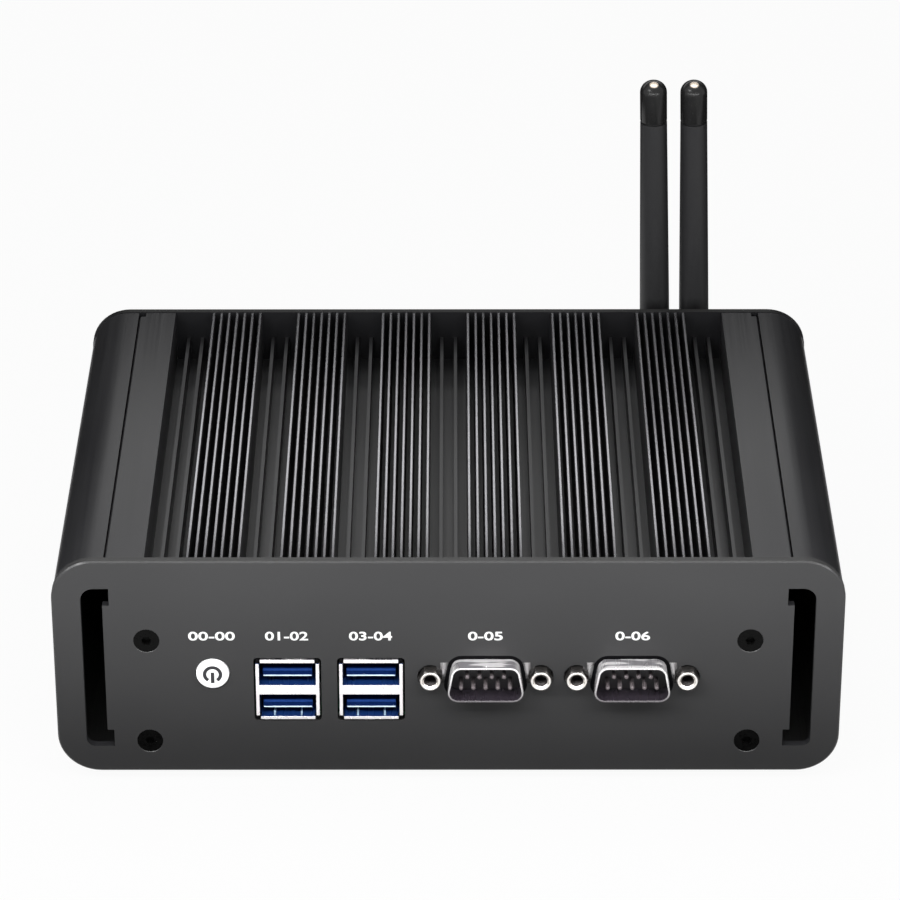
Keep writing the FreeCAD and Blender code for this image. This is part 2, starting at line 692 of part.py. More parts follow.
# --------------------------------------------------------- cooling the chip
def processor():
    """Chip carrier with the bare die on top."""
    half = CPU_SIZE / 2
    carrier = block(-half, half, CPU_Y - half, CPU_Y + half, BOARD_TOP, BOARD_TOP + CPU_T)
    die = block(-DIE_X / 2, DIE_X / 2, CPU_Y - DIE_Y / 2, CPU_Y + DIE_Y / 2, BOARD_TOP, CPU_TOP)
    return fuse(carrier, die)


def thermal_pad():
    """Soft pad between the die and the spreader block."""
    half_x = DIE_X / 2 + PAD_OVER
    half_y = DIE_Y / 2 + PAD_OVER
    return block(-half_x, half_x, CPU_Y - half_y, CPU_Y + half_y, CPU_TOP, SPREADER_Z)


def spreader_bolts():
    """Places of the four screws that hold the spreader block."""
    half = SPREADER_BOLT / 2
    return [(x, CPU_Y + y) for x in (-half, half) for y in (-half, half)]


def heat_spreader():
    """Metal block between the processor and the heatsink base."""
    half = SPREADER_SIZE / 2
    body = block(-half, half, CPU_Y - half, CPU_Y + half, SPREADER_Z, BASE_Z)
    body = body.makeChamfer(SPREADER_BEVEL, along(body, "Z"))
    cuts = []
    for x, y in spreader_bolts():
        cuts.append(rod(SPREADER_BORE_R, (x, y, 0), CASE_H, "Z"))
        cuts.append(rod(SPREADER_SINK_R, (x, y, SPREADER_Z - OVERRUN), SPREADER_SINK_D + OVERRUN, "Z"))
    return body.cut(cuts)


def spreader_screw(x, y):
    """Screw driven up through the block into the heatsink base."""
    seat = SPREADER_Z + SPREADER_SINK_D
    head = rod(PAN_HEAD_R, (x, y, seat - SPREADER_HEAD_H), SPREADER_HEAD_H, "Z")
    end = BASE_Z + SPREADER_ENGAGE - HEAD_GAP
    shank = rod(SCREW_R, (x, y, seat - SPREADER_HEAD_H), end - seat + SPREADER_HEAD_H, "Z")
    socket_z = seat - SPREADER_HEAD_H
    socket = upright_hex(SOCKET_AF, x, y, socket_z - OVERRUN, socket_z + SOCKET_DEPTH)
    return fuse(head, shank).cut(socket)


# ------------------------------------------------------------ plug-in boards
def memory_module():
    """Memory board with its chips, lying flat beside the spreader."""
    x1 = MEMORY_X + MEMORY_W / 2
    x0 = MEMORY_X - MEMORY_W / 2
    y0 = MEMORY_Y - MEMORY_L / 2
    z0 = BOARD_TOP + MEMORY_LIFT
    board = block(x0, x1, y0, y0 + MEMORY_L, z0, z0 + MEMORY_T)
    chips = []
    chip_top = z0 + MEMORY_T + MEMORY_CHIP_T
    half = MEMORY_CHIP_L / 2
    for i in range(MEMORY_CHIPS):
        y = y0 + (i + 0.5) * MEMORY_L / MEMORY_CHIPS
        chips.append(block(x0 + MEMORY_CHIP_X0, x1 - MEMORY_CHIP_X1, y - half, y + half, z0, chip_top))
    return fuse(board, *chips)


def memory_socket():
    """Long socket and the two arms that hold the module's ends."""
    x0 = MEMORY_X - MEMORY_W / 2
    y0 = MEMORY_Y - MEMORY_L / 2
    y1 = y0 + MEMORY_L
    z1 = BOARD_TOP + MEMORY_SOCKET_H
    bar = block(x0 + MEMORY_ENTRY - MEMORY_SOCKET_W, x0 + MEMORY_ENTRY, y0 - MEMORY_ARM_W,
                y1 + MEMORY_ARM_W, BOARD_TOP, z1)
    arms = []
    for low, high in ((y0 - MEMORY_ARM_W, y0), (y1, y1 + MEMORY_ARM_W)):
        arms.append(block(x0, MEMORY_X + MEMORY_W / 2, low - CARD_GAP, high + CARD_GAP, BOARD_TOP, z1))
    slot_z = BOARD_TOP + MEMORY_LIFT
    slot = block(x0 - CARD_GAP, CASE_W, y0 - CARD_GAP, y1 + CARD_GAP, slot_z - CARD_GAP,
                 slot_z + MEMORY_T + CARD_GAP)
    ledge = block(x0 + MEMORY_SOCKET_W, MEMORY_X + MEMORY_W / 2, y0 - OVERRUN, y0 + OVERRUN,
                  BOARD_TOP, slot_z - CARD_GAP)
    far_ledge = ledge.translated(Vector(0, MEMORY_L, 0))
    return fuse(bar, *arms, ledge, far_ledge).cut(slot)


def card(x, length):
    """Small card: board, chips and the half-round notch of its screw."""
    half = CARD_W / 2
    y0 = CARD_END_Y - length
    board = block(x - half, x + half, y0, CARD_END_Y, CARD_Z, CARD_Z + CARD_T)
    return board.cut(rod(CARD_NOTCH_R, (x, CARD_END_Y, 0), CASE_H, "Z"))


def drive_card():
    """Solid-state drive card with three flash chips."""
    body = card(DRIVE_X, DRIVE_L)
    chips = []
    half_w, half_l = DRIVE_CHIP_W / 2, DRIVE_CHIP_L / 2
    top = CARD_Z + CARD_T + CARD_CHIP_T
    for i in range(DRIVE_CHIPS):
        y = CARD_END_Y - DRIVE_L + DRIVE_CHIP_START + DRIVE_CHIP_PITCH * i
        chips.append(block(DRIVE_X - half_w, DRIVE_X + half_w, y - half_l, y + half_l, CARD_Z, top))
    return fuse(body, *chips)


def radio_card():
    """Wireless card with its shield can and two coax sockets."""
    body = card(RADIO_X, RADIO_L)
    y0 = CARD_END_Y - RADIO_L + RADIO_CAN_Y0
    half = RADIO_CAN_W / 2
    top = CARD_Z + CARD_T + CARD_CHIP_T
    return fuse(body, block(RADIO_X - half, RADIO_X + half, y0, y0 + RADIO_CAN_L, CARD_Z, top))


def card_socket(x, length):
    """Edge socket of a card, slotted for it."""
    y0 = CARD_END_Y - length
    half = CARD_W / 2 - CARD_GAP
    body = block(x - half, x + half, y0 + CARD_ENTRY - CARD_SOCKET_D, y0 + CARD_ENTRY,
                 BOARD_TOP, BOARD_TOP + CARD_SOCKET_H)
    slot = block(x - CARD_W, x + CARD_W, y0 - CARD_GAP, CARD_END_Y, CARD_Z - CARD_GAP,
                 CARD_Z + CARD_T + CARD_GAP)
    return body.cut(slot)


def card_post(x):
    """Round post under the free end of a card."""
    post = rod(CARD_POST_R, (x, CARD_END_Y, BOARD_TOP), CARD_LIFT, "Z")
    return post.cut(rod(CARD_SCREW_R + HEAD_GAP, (x, CARD_END_Y, BOARD_TOP), CARD_LIFT, "Z"))


def card_screw(x):
    """Low-head screw that clamps a card to its post."""
    z = CARD_Z + CARD_T
    head = rod(CARD_SCREW_HEAD_R, (x, CARD_END_Y, z), CARD_SCREW_HEAD_H, "Z")
    return fuse(head, rod(CARD_SCREW_R, (x, CARD_END_Y, BOARD_TOP + HEAD_GAP), z - BOARD_TOP, "Z"))


def cell_holder():
    """Round cup for the coin cell."""
    body = rod(CELL_HOLDER_R, (CELL_X, CELL_Y, BOARD_TOP), CELL_HOLDER_H, "Z")
    floor = BOARD_TOP + CELL_HOLDER_FLOOR
    return body.cut(rod(CELL_R + CARD_GAP, (CELL_X, CELL_Y, floor), CELL_HOLDER_H, "Z"))


def coin_cell():
    """Clock battery, lying on the floor of its holder."""
    return rod(CELL_R, (CELL_X, CELL_Y, BOARD_TOP + CELL_HOLDER_FLOOR), CELL_T, "Z")


def capacitors():
    """Row of round cans behind the front connectors."""
    return group(rod(CAN_R, (x, CAN_Y, BOARD_TOP), CAN_H, "Z") for x in CAN_X)


def inductors():
    """Row of square coils near the back connectors."""
    half = COIL_SIZE / 2
    return group(
        block(x - half, x + half, COIL_Y - half, COIL_Y + half, BOARD_TOP, BOARD_TOP + COIL_H)
        for x in COIL_X
    )


# ------------------------------------------------------------------ USB pair
def usb_ports():
    """(bottom, top) of the lower and upper port of a USB pair."""
    low = BOARD_TOP + USB_LIP
    high = low + USB_PORT_H + USB_BAR
    return [(low, low + USB_PORT_H), (high, high + USB_PORT_H)]


def usb_shell(x):
    """Bent steel shell of a stacked pair, with corner notches at its mouth."""
    y0 = -USB_PROUD
    half = USB_W / 2
    body = block(x - half, x + half, y0, y0 + USB_L, BOARD_TOP, BOARD_TOP + USB_H)
    cuts = []
    for z0, z1 in usb_ports():
        inner = half - USB_LIP
        cuts.append(block(x - inner, x + inner, y0 - OVERRUN, y0 + USB_L - USB_SKIN, z0, z1))
    room = half - USB_SKIN
    cuts.append(block(x - room, x + room, y0 + USB_MOUTH_D, y0 + USB_L - USB_SKIN,
                      BOARD_TOP + USB_SKIN, BOARD_TOP + USB_H - USB_SKIN))
    for side in (-1, 1):
        for z in (BOARD_TOP, BOARD_TOP + USB_H):
            corner = Vector(x + side * half, y0, z)
            notch = Part.makeBox(2 * USB_NOTCH, 2 * USB_NOTCH_D, 2 * USB_NOTCH)
            notch.translate(corner - Vector(USB_NOTCH, USB_NOTCH_D, USB_NOTCH))
            cuts.append(notch)
    return body.cut(cuts)


def usb_insulator(x):
    """Plastic block at the back of the shell with the two tongues."""
    y0 = USB_MOUTH_D - USB_PROUD
    room = USB_W / 2 - USB_SKIN - CARD_GAP
    back = USB_L - USB_PROUD - USB_SKIN - CARD_GAP
    body = block(x - room, x + room, y0 + CARD_GAP, back, BOARD_TOP + USB_SKIN + CARD_GAP,
                 BOARD_TOP + USB_H - USB_SKIN - CARD_GAP)
    tongues = []
    for z0, z1 in usb_ports():
        top = z1 - TONGUE_DROP
        tongue = block(x - TONGUE_W / 2, x + TONGUE_W / 2, TONGUE_SET_BACK - USB_PROUD, y0 + OVERRUN,
                       top - TONGUE_T, top)
        front = [e for e in along(tongue, "X") if e.Vertexes[0].Y < TONGUE_SET_BACK]
        tongues.append(tongue.makeChamfer(TONGUE_BEVEL, front))
    return fuse(body, *tongues)


# --------------------------------------------------------------- serial port
def d_prism(x, offset, y0, y1):
    """D-shaped prism, wide side down, grown by an offset all round."""
    half_h = COM_H / 2 + offset
    middle = COM_W / 2 + offset - COM_H / 2 * math.tan(math.radians(COM_SLOPE))
    lean = half_h * math.tan(math.radians(COM_SLOPE))
    points = [
        (x - middle - lean, COM_Z - half_h),
        (x + middle + lean, COM_Z - half_h),
        (x + middle - lean, COM_Z + half_h),
        (x - middle + lean, COM_Z + half_h),
    ]
    body = prism(points, y0, y1)
    return body.makeFillet(COM_R + offset, along(body, "Y"))


def jack_places(x):
    """X places of the two jackscrews of a serial port."""
    return x - JACK_PITCH / 2, x + JACK_PITCH / 2


def com_shell(x):
    """Steel flange with the D-shaped sleeve and two tapped bosses."""
    half_w, half_h = COM_FLANGE_W / 2, COM_FLANGE_H / 2
    flange = rounded_block(x - half_w, x + half_w, PANEL_T, FLANGE_BACK, COM_Z - half_h,
                           COM_Z + half_h, COM_FLANGE_R)
    sleeve = d_prism(x, 0, -COM_REACH, FLANGE_BACK)
    bosses = [rod(JACK_BOSS_R, (jx, PANEL_T, COM_Z), COM_FLANGE_T + JACK_BOSS_L) for jx in jack_places(x)]
    body = fuse(flange, sleeve, *bosses)
    cuts = [d_prism(x, -COM_SKIN, -COM_REACH - OVERRUN, FLANGE_BACK + OVERRUN)]
    length = COM_FLANGE_T + JACK_BOSS_L + 2 * OVERRUN
    cuts.extend(rod(JACK_BORE_R, (jx, PANEL_T - OVERRUN, COM_Z), length) for jx in jack_places(x))
    return body.cut(cuts)


def pin_places(x):
    """(x, z, row) of the nine pins: five in the lower row, four in the upper."""
    rows = ((5, -PIN_ROW_GAP / 2, 0), (4, PIN_ROW_GAP / 2, 1))
    places = []
    for count, dz, row in rows:
        for i in range(count):
            places.append((x + (i - (count - 1) / 2) * PIN_PITCH, COM_Z + dz, row))
    return places


def com_insulator(x):
    """Black body behind the flange, its face inside the sleeve, standing on the board."""
    body = block(x - COM_BODY_W / 2, x + COM_BODY_W / 2, FLANGE_BACK, FLANGE_BACK + COM_BODY_D,
                 BOARD_TOP, COM_Z + COM_BODY_OVER)
    face = d_prism(x, -COM_SKIN - CARD_GAP, COM_FACE_BACK - COM_REACH, FLANGE_BACK + OVERRUN)
    holes = [rod(PIN_R + PIN_FIT, (px, -COM_REACH, pz), CASE_D) for px, pz, _ in pin_places(x)]
    return fuse(body, face).cut(holes)


def com_pin(x, z, row):
    """Pin with a rounded end, bent down to the board behind the insulator."""
    y0 = PIN_SET_BACK - COM_REACH
    tail_y = FLANGE_BACK + COM_BODY_D + PIN_TAIL_GAP + row * PIN_TAIL_STEP
    nose = Part.makeSphere(PIN_R, Vector(x, y0 + PIN_R, z))
    shaft = rod(PIN_R, (x, y0 + PIN_R, z), tail_y - y0 - PIN_R)
    knee = Part.makeSphere(PIN_R, Vector(x, tail_y, z))
    return fuse(shaft, nose, knee, rod(PIN_R, (x, tail_y, BOARD_TOP), z - BOARD_TOP, "Z"))


def com_pins():
    """The pins of both serial ports."""
    return group(com_pin(*place) for x in COM_X for place in pin_places(x))


def jackscrew(x):
    """Hexagonal jackscrew seated on the flange, tapped at its outer end."""
    y0 = PANEL_T - JACK_L
    body = hex_prism(JACK_AF, x, COM_Z, y0, PANEL_T)
    turned = cone(JACK_AF / 2, JACK_AF / 2 + JACK_L, (x, y0, COM_Z), JACK_L)
    stud = rod(JACK_STUD_R, (x, PANEL_T - OVERRUN, COM_Z), JACK_STUD_L + OVERRUN)
    bore = rod(JACK_BORE_R, (x, y0 - OVERRUN, COM_Z), JACK_BORE_D + OVERRUN)
    return fuse(body.common(turned), stud).cut(bore)


def jackscrews():
    """The jackscrews of both serial ports."""
    return group(jackscrew(jx) for x in COM_X for jx in jack_places(x))


# -------------------------------------------------------------- power button
def power_button():
    """Round cap, retaining flange behind the panel and the stem of the switch."""
    flange_y = PANEL_T + BUTTON_SEAT_GAP
    cap = rod(BUTTON_R, (BUTTON_X, -BUTTON_PROUD, BUTTON_Z), flange_y + BUTTON_PROUD)
    rim = [e for e in cap.Edges if all(abs(v.Y + BUTTON_PROUD) < TOUCH for v in e.Vertexes)]
    cap = cap.makeChamfer(BUTTON_BEVEL, rim)
    flange = rod(BUTTON_FLANGE_R, (BUTTON_X, flange_y, BUTTON_Z), BUTTON_FLANGE_T)
    stem = rod(BUTTON_STEM_R, (BUTTON_X, flange_y, BUTTON_Z), SWITCH_Y + STEM_ENTRY - flange_y)
    return fuse(cap, flange, stem)


def power_switch():
    """Square switch body with the bore that the stem presses into."""
    half = SWITCH_SIZE / 2
    body = block(BUTTON_X - half, BUTTON_X + half, SWITCH_Y, SWITCH_Y + SWITCH_T,
                 BUTTON_Z - half, BUTTON_Z + half)
    depth = STEM_ENTRY + BUTTON_TRAVEL + 2 * STEM_FIT
    start = (BUTTON_X, SWITCH_Y - OVERRUN, BUTTON_Z)
    return body.cut(rod(BUTTON_STEM_R + STEM_FIT, start, depth + OVERRUN))


def switch_board():
    """Small upright board that carries the switch."""
    y0 = SWITCH_Y + SWITCH_T
    half = RISER_W / 2
    return block(BUTTON_X - half, BUTTON_X + half, y0, y0 + RISER_T, BOARD_TOP, BUTTON_Z + RISER_OVER)


# ------------------------------------------------------------ back connectors
def dc_inlet():
    """Plastic inlet body with its barrel reaching through the panel."""
    y0 = BACK_Y - DC_L
    body = block(DC_X - DC_W / 2, DC_X + DC_W / 2, y0, BACK_Y, BOARD_TOP, BOARD_TOP + DC_H)
    barrel = rod(DC_BARREL_R, (DC_X, BACK_Y - OVERRUN, DC_Z), PANEL_T + BACK_PROUD + OVERRUN)
    mouth = CASE_D + BACK_PROUD
    bore = rod(DC_BORE_R, (DC_X, mouth - DC_BORE_D, DC_Z), DC_BORE_D + OVERRUN)
    seat = rod(DC_PIN_R + PIN_FIT, (DC_X, y0, DC_Z), CASE_D)
    return fuse(body, barrel).cut([bore, seat])


def dc_pin():
    """Centre pin of the inlet with a rounded end."""
    y0 = BACK_Y - DC_L
    end = CASE_D + BACK_PROUD - DC_PIN_BACK - DC_PIN_R
    nose = Part.makeSphere(DC_PIN_R, Vector(DC_X, end, DC_Z))
    return fuse(rod(DC_PIN_R, (DC_X, y0, DC_Z), end - y0), nose)


def hdmi_outline(inset):
    """HDMI outline: a rectangle whose lower corners step in."""
    half = HDMI_W / 2 - inset
    low, high = BOARD_TOP + inset, BOARD_TOP + HDMI_H - inset
    step = HDMI_STEP
    return [
        (HDMI_X - half + step, low),
        (HDMI_X + half - step, low),
        (HDMI_X + half, low + step),
        (HDMI_X + half, high),
        (HDMI_X - half, high),
        (HDMI_X - half, low + step),
    ]


def hdmi_shell():
    """Folded sleeve, open at both ends."""
    mouth = CASE_D + BACK_PROUD
    start = mouth - HDMI_L
    body = prism(hdmi_outline(0), start, mouth)
    return body.cut(prism(hdmi_outline(HDMI_SKIN), start - OVERRUN, mouth + OVERRUN))


def hdmi_insulator():
    """Plastic block that closes the shell, with the contact tongue."""
    start = CASE_D + BACK_PROUD - HDMI_L
    body = prism(hdmi_outline(HDMI_SKIN + CARD_GAP), start, start + HDMI_BLOCK)
    z = HDMI_Z + HDMI_TONGUE_T / 2
    tongue = block(HDMI_X - HDMI_TONGUE_W / 2, HDMI_X + HDMI_TONGUE_W / 2, start + OVERRUN,
                   CASE_D - OVERRUN, z - HDMI_TONGUE_T / 2, z + HDMI_TONGUE_T / 2)
    return fuse(body, tongue)


def lan_mouths(grow):
    """The two network sockets with their latch steps, grown by an amount."""
    mouth = CASE_D + BACK_PROUD
    cuts = []
    for side in (-1, 1):
        x = LAN_X + side * LAN_PITCH / 2
        z0 = BOARD_TOP + LAN_MOUTH_Z - grow
        half = LAN_MOUTH_W / 2 + grow
        y0 = mouth - LAN_MOUTH_D
        room = block(x - half, x + half, y0, mouth + OVERRUN, z0, z0 + LAN_MOUTH_H + 2 * grow)
        half = LAN_LATCH_W / 2 + grow
        latch = block(x - half, x + half, y0, mouth + OVERRUN, z0 - LAN_LATCH_H, z0 + LAN_LATCH_H)
        cuts.append(fuse(room, latch))
    return cuts


def lan_housing():
    """Plastic body of the twin network jack."""
    mouth = CASE_D + BACK_PROUD
    gap = LAN_SKIN + CARD_GAP
    body = block(LAN_X - LAN_W / 2 + gap, LAN_X + LAN_W / 2 - gap, mouth - LAN_L + gap, mouth - gap,
                 BOARD_TOP, BOARD_TOP + LAN_H - gap)
    return body.cut(lan_mouths(0))


def lan_shell():
    """Steel shell over the network jack, open underneath."""
    mouth = CASE_D + BACK_PROUD
    half = LAN_W / 2
    body = block(LAN_X - half, LAN_X + half, mouth - LAN_L, mouth, BOARD_TOP, BOARD_TOP + LAN_H)
    room = block(LAN_X - half + LAN_SKIN, LAN_X + half - LAN_SKIN, mouth - LAN_L + LAN_SKIN,
                 mouth - LAN_SKIN, BOARD_TOP - OVERRUN, BOARD_TOP + LAN_H - LAN_SKIN)
    return body.cut([room, *lan_mouths(LAN_SKIN)])


# ------------------------------------------------------------------ antennas
def antenna_jack(x):
    """Bulkhead jack: threaded barrel, hexagonal shoulder and cable tail."""
    barrel = rod(JACK_R, (x, BACK_Y - JACK_HEX_T, ANTENNA_Z), JACK_HEX_T + PANEL_T + JACK_OUT)
    shoulder = hex_prism(JACK_HEX_AF, x, ANTENNA_Z, BACK_Y - JACK_HEX_T, BACK_Y)
    tail = rod(JACK_TAIL_R, (x, BACK_Y - JACK_HEX_T - JACK_TAIL_L, ANTENNA_Z), JACK_TAIL_L + OVERRUN)
    return fuse(barrel, shoulder, tail)


def antenna_nuts():
    """Lock washer and hexagonal nut of each antenna jack."""
    pieces = []
    hole = JACK_R + THREAD_FIT
    for x in ANTENNA_X:
        bore = rod(hole, (x, CASE_D - OVERRUN, ANTENNA_Z), ANTENNA_REACH)
        washer = rod(WASHER_R, (x, CASE_D, ANTENNA_Z), WASHER_T)
        nut = hex_prism(NUT_AF, x, ANTENNA_Z, CASE_D + WASHER_T, CASE_D + WASHER_T + NUT_T)
        pieces.extend([washer.cut(bore), nut.cut(bore)])
    return group(pieces)


def antenna_coupler(x):
    """Threaded sleeve that screws onto the jack, with the neck of the swivel."""
    sleeve = rod(COUPLER_R, (x, COUPLER_Y, ANTENNA_Z), COUPLER_L)
    neck = rod(NECK_R, (x, COUPLER_Y, ANTENNA_Z), COUPLER_L + NECK_L)
    bore = rod(JACK_R + THREAD_FIT, (x, COUPLER_Y - OVERRUN, ANTENNA_Z),
               COUPLER_L - COUPLER_WALL_END + OVERRUN)
    return fuse(sleeve, neck).cut(bore)


def lean(shape, x):
    """Turn an antenna piece about its jack axis by the mast's lean."""
    return shape.rotated(Vector(x, 0, ANTENNA_Z), AXES["Y"], -ANTENNA_LEAN)


def antenna_elbow(x):
    """Plastic elbow: swivel barrel with a fork for the mast."""
    root = HINGE_Y - KNUCKLE_R - KNUCKLE_GAP
    wide = 2 * ELBOW_R
    barrel = block(x - wide, x + wide, ELBOW_Y - OVERRUN, root, ANTENNA_Z - wide, ANTENNA_Z + wide)
    cheeks = block(x - wide, x + wide, root, HINGE_Y, ANTENNA_Z - EAR_R, ANTENNA_Z + EAR_R)
    ends = rod(EAR_R, (x - wide, HINGE_Y, ANTENNA_Z), 2 * wide, "X")
    tube = rod(ELBOW_R, (x, ELBOW_Y, ANTENNA_Z), HINGE_Y + EAR_R - ELBOW_Y)
    body = tube.common(fuse(barrel, cheeks, ends))
    half = FORK_SLOT_W / 2
    slot = block(x - half, x + half, root, HINGE_Y + wide, ANTENNA_Z - wide, ANTENNA_Z + wide)
    depth = NECK_L - COUPLER_GAP + NECK_FIT
    neck = rod(NECK_R + NECK_FIT, (x, ELBOW_Y - OVERRUN, ANTENNA_Z), depth + OVERRUN)
    pin = rod(HINGE_PIN_R + HINGE_FIT, (x - ELBOW_R, HINGE_Y, ANTENNA_Z), 2 * ELBOW_R, "X")
    return lean(body.cut([slot, neck, pin]), x)


def hinge_pin(x):
    """Pin across the fork."""
    half = ELBOW_R - KNUCKLE_GAP
    return lean(rod(HINGE_PIN_R, (x - half, HINGE_Y, ANTENNA_Z), 2 * half, "X"), x)


def antenna_mast(x):
    """Tapered tube with the knuckle that turns on the hinge pin."""
    half = KNUCKLE_W / 2
    knuckle = rod(KNUCKLE_R, (x - half, HINGE_Y, ANTENNA_Z), KNUCKLE_W, "X")
    depth = KNUCKLE_R - KNUCKLE_GAP
    start = ANTENNA_Z + MAST_START
    shank = block(x - half, x + half, HINGE_Y - depth, HINGE_Y + depth, ANTENNA_Z, start + OVERRUN)
    shank = shank.common(rod(MAST_ROOT_R, (x, HINGE_Y, ANTENNA_Z), CASE_D, "Z"))
    tube = cone(MAST_ROOT_R, MAST_TIP_R, (x, HINGE_Y, start), MAST_L - MAST_START, "Z")
    bore = rod(HINGE_PIN_R + HINGE_FIT, (x - half, HINGE_Y, ANTENNA_Z), KNUCKLE_W, "X")
    return lean(fuse(knuckle, shank, tube).cut(bore), x)


def antenna_cap(x):
    """Domed cap above the joint line, drawn in by a fine groove."""
    z0 = ANTENNA_Z + MAST_L
    radius = MAST_TIP_R
    neck = rod(radius - CAP_GROOVE, (x, HINGE_Y, z0), 2 * CAP_GROOVE, "Z")
    wall = rod(radius, (x, HINGE_Y, z0 + 2 * CAP_GROOVE), CAP_L - radius - 2 * CAP_GROOVE, "Z")
    dome = Part.makeSphere(radius, Vector(x, HINGE_Y, z0 + CAP_L - radius))
    return lean(fuse(neck, wall, dome), x)


def coax_route(x):
    """Points of a pigtail: out of the jack, down, and along the card."""
    jack_y = BACK_Y - JACK_HEX_T - JACK_TAIL_L
    plug_y = CARD_END_Y - COAX_CARD_BACK
    plug_z = CARD_Z + CARD_T + COAX_PLUG_H / 2
    return [
        Vector(x, jack_y, ANTENNA_Z),
        Vector(x, jack_y - COAX_ENTRY, ANTENNA_Z),
        Vector(x, plug_y + COAX_LAY, plug_z),
        Vector(x, plug_y, plug_z),
    ]


def rounded_path(points):
    """Straight runs joined by tangent arcs, as large as the shorter run allows."""
    edges = []
    start = points[0]
    for before, corner, after in zip(points, points[1:], points[2:]):
        back = (before - corner).normalize()
        ahead = (after - corner).normalize()
        turn = math.pi - back.getAngle(ahead)
        reach = COAX_BEND_SHARE * min((before - corner).Length, (after - corner).Length)
        radius = reach / math.tan(turn / 2)
        crest = corner + (back + ahead).normalize() * (radius / math.cos(turn / 2) - radius)
        enter = corner + back * reach
        leave = corner + ahead * reach
        edges.append(Part.LineSegment(start, enter).toShape())
        edges.append(Part.Arc(enter, crest, leave).toShape())
        print("coax bend radius", round(radius, 2))
        start = leave
    edges.append(Part.LineSegment(start, points[-1]).toShape())
    return Part.Wire(edges)


def coax_pigtail(x):
    """Thin coax lead with its push-on plug."""
    points = coax_route(x)
    path = rounded_path(points)
    ring = Part.Wire(Part.makeCircle(COAX_R, points[0], points[0] - points[1]))
    lead = path.makePipeShell([ring], True, False)
    plug = rod(COAX_PLUG_R, (x, points[-1].y, CARD_Z + CARD_T), COAX_PLUG_H, "Z")
    return fuse(lead, plug)


# ---------------------------------------------------------------- all pieces
def pieces():
    """Every piece under the name of its node."""
    nodes = {
        "chassis": chassis(),
        "heatsink": heatsink(),
        "front_panel": front_panel(),
        "back_panel": back_panel(),
        "panel_screws": panel_screws(),
        "mainboard": mainboard(),
        "board_standoffs": group(standoff(x, y) for x, y in BOARD_FIXINGS),
        "board_screws": group(board_screw(x, y) for x, y in BOARD_FIXINGS),
        "processor": processor(),
        "thermal_pad": thermal_pad(),
        "heat_spreader": heat_spreader(),
        "spreader_screws": group(spreader_screw(x, y) for x, y in spreader_bolts()),
        "memory_socket": memory_socket(),
        "memory_module": memory_module(),
        "card_sockets": group([card_socket(DRIVE_X, DRIVE_L), card_socket(RADIO_X, RADIO_L)]),
        "drive_card": drive_card(),
        "radio_card": radio_card(),
        "card_posts": group(card_post(x) for x in (DRIVE_X, RADIO_X)),
        "card_screws": group(card_screw(x) for x in (DRIVE_X, RADIO_X)),
        "coin_cell_holder": cell_holder(),
        "coin_cell": coin_cell(),
        "capacitors": capacitors(),
        "inductors": inductors(),
        "com_pins": com_pins(),
        "com_jackscrews": jackscrews(),
        "power_button": power_button(),
        "power_switch": power_switch(),
        "switch_board": switch_board(),
        "dc_inlet": dc_inlet(),
        "dc_inlet_pin": dc_pin(),
        "hdmi_shell": hdmi_shell(),
        "hdmi_insulator": hdmi_insulator(),
        "lan_shell": lan_shell(),
        "lan_housing": lan_housing(),
        "antenna_nuts": antenna_nuts(),
        "coax_pigtails": group(coax_pigtail(x) for x in ANTENNA_X),
    }
    for place, y in (("front", FOOT_INSET_Y), ("back", CASE_D - FOOT_INSET_Y)):
        for hand, side in (("left", -1), ("right", 1)):
            nodes["foot_" + place + "_" + hand] = foot(side, y)
    for hand, usb_x, com_x, mast_x in zip(("left", "right"), USB_X, COM_X, ANTENNA_X):
        nodes["usb_shell_" + hand] = usb_shell(usb_x)
        nodes["usb_insulator_" + hand] = usb_insulator(usb_x)
        nodes["com_shell_" + hand] = com_shell(com_x)
        nodes["com_insulator_" + hand] = com_insulator(com_x)
        nodes["antenna_jack_" + hand] = antenna_jack(mast_x)
        nodes["antenna_coupler_" + hand] = antenna_coupler(mast_x)
        nodes["antenna_elbow_" + hand] = antenna_elbow(mast_x)
        nodes["antenna_pin_" + hand] = hinge_pin(mast_x)
        nodes["antenna_mast_" + hand] = antenna_mast(mast_x)
        nodes["antenna_cap_" + hand] = antenna_cap(mast_x)
    return nodes


os.makedirs("parts", exist_ok=True)
for name, shape in pieces().items():
    shape.translated(ORIGIN_SHIFT).exportStep("parts/" + name + ".step")
    print(name, len(shape.Solids), shape.isValid(), round(shape.Volume))
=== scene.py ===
import json
import math

import bmesh
import bpy
import numpy as np
from mathutils import Matrix, Vector


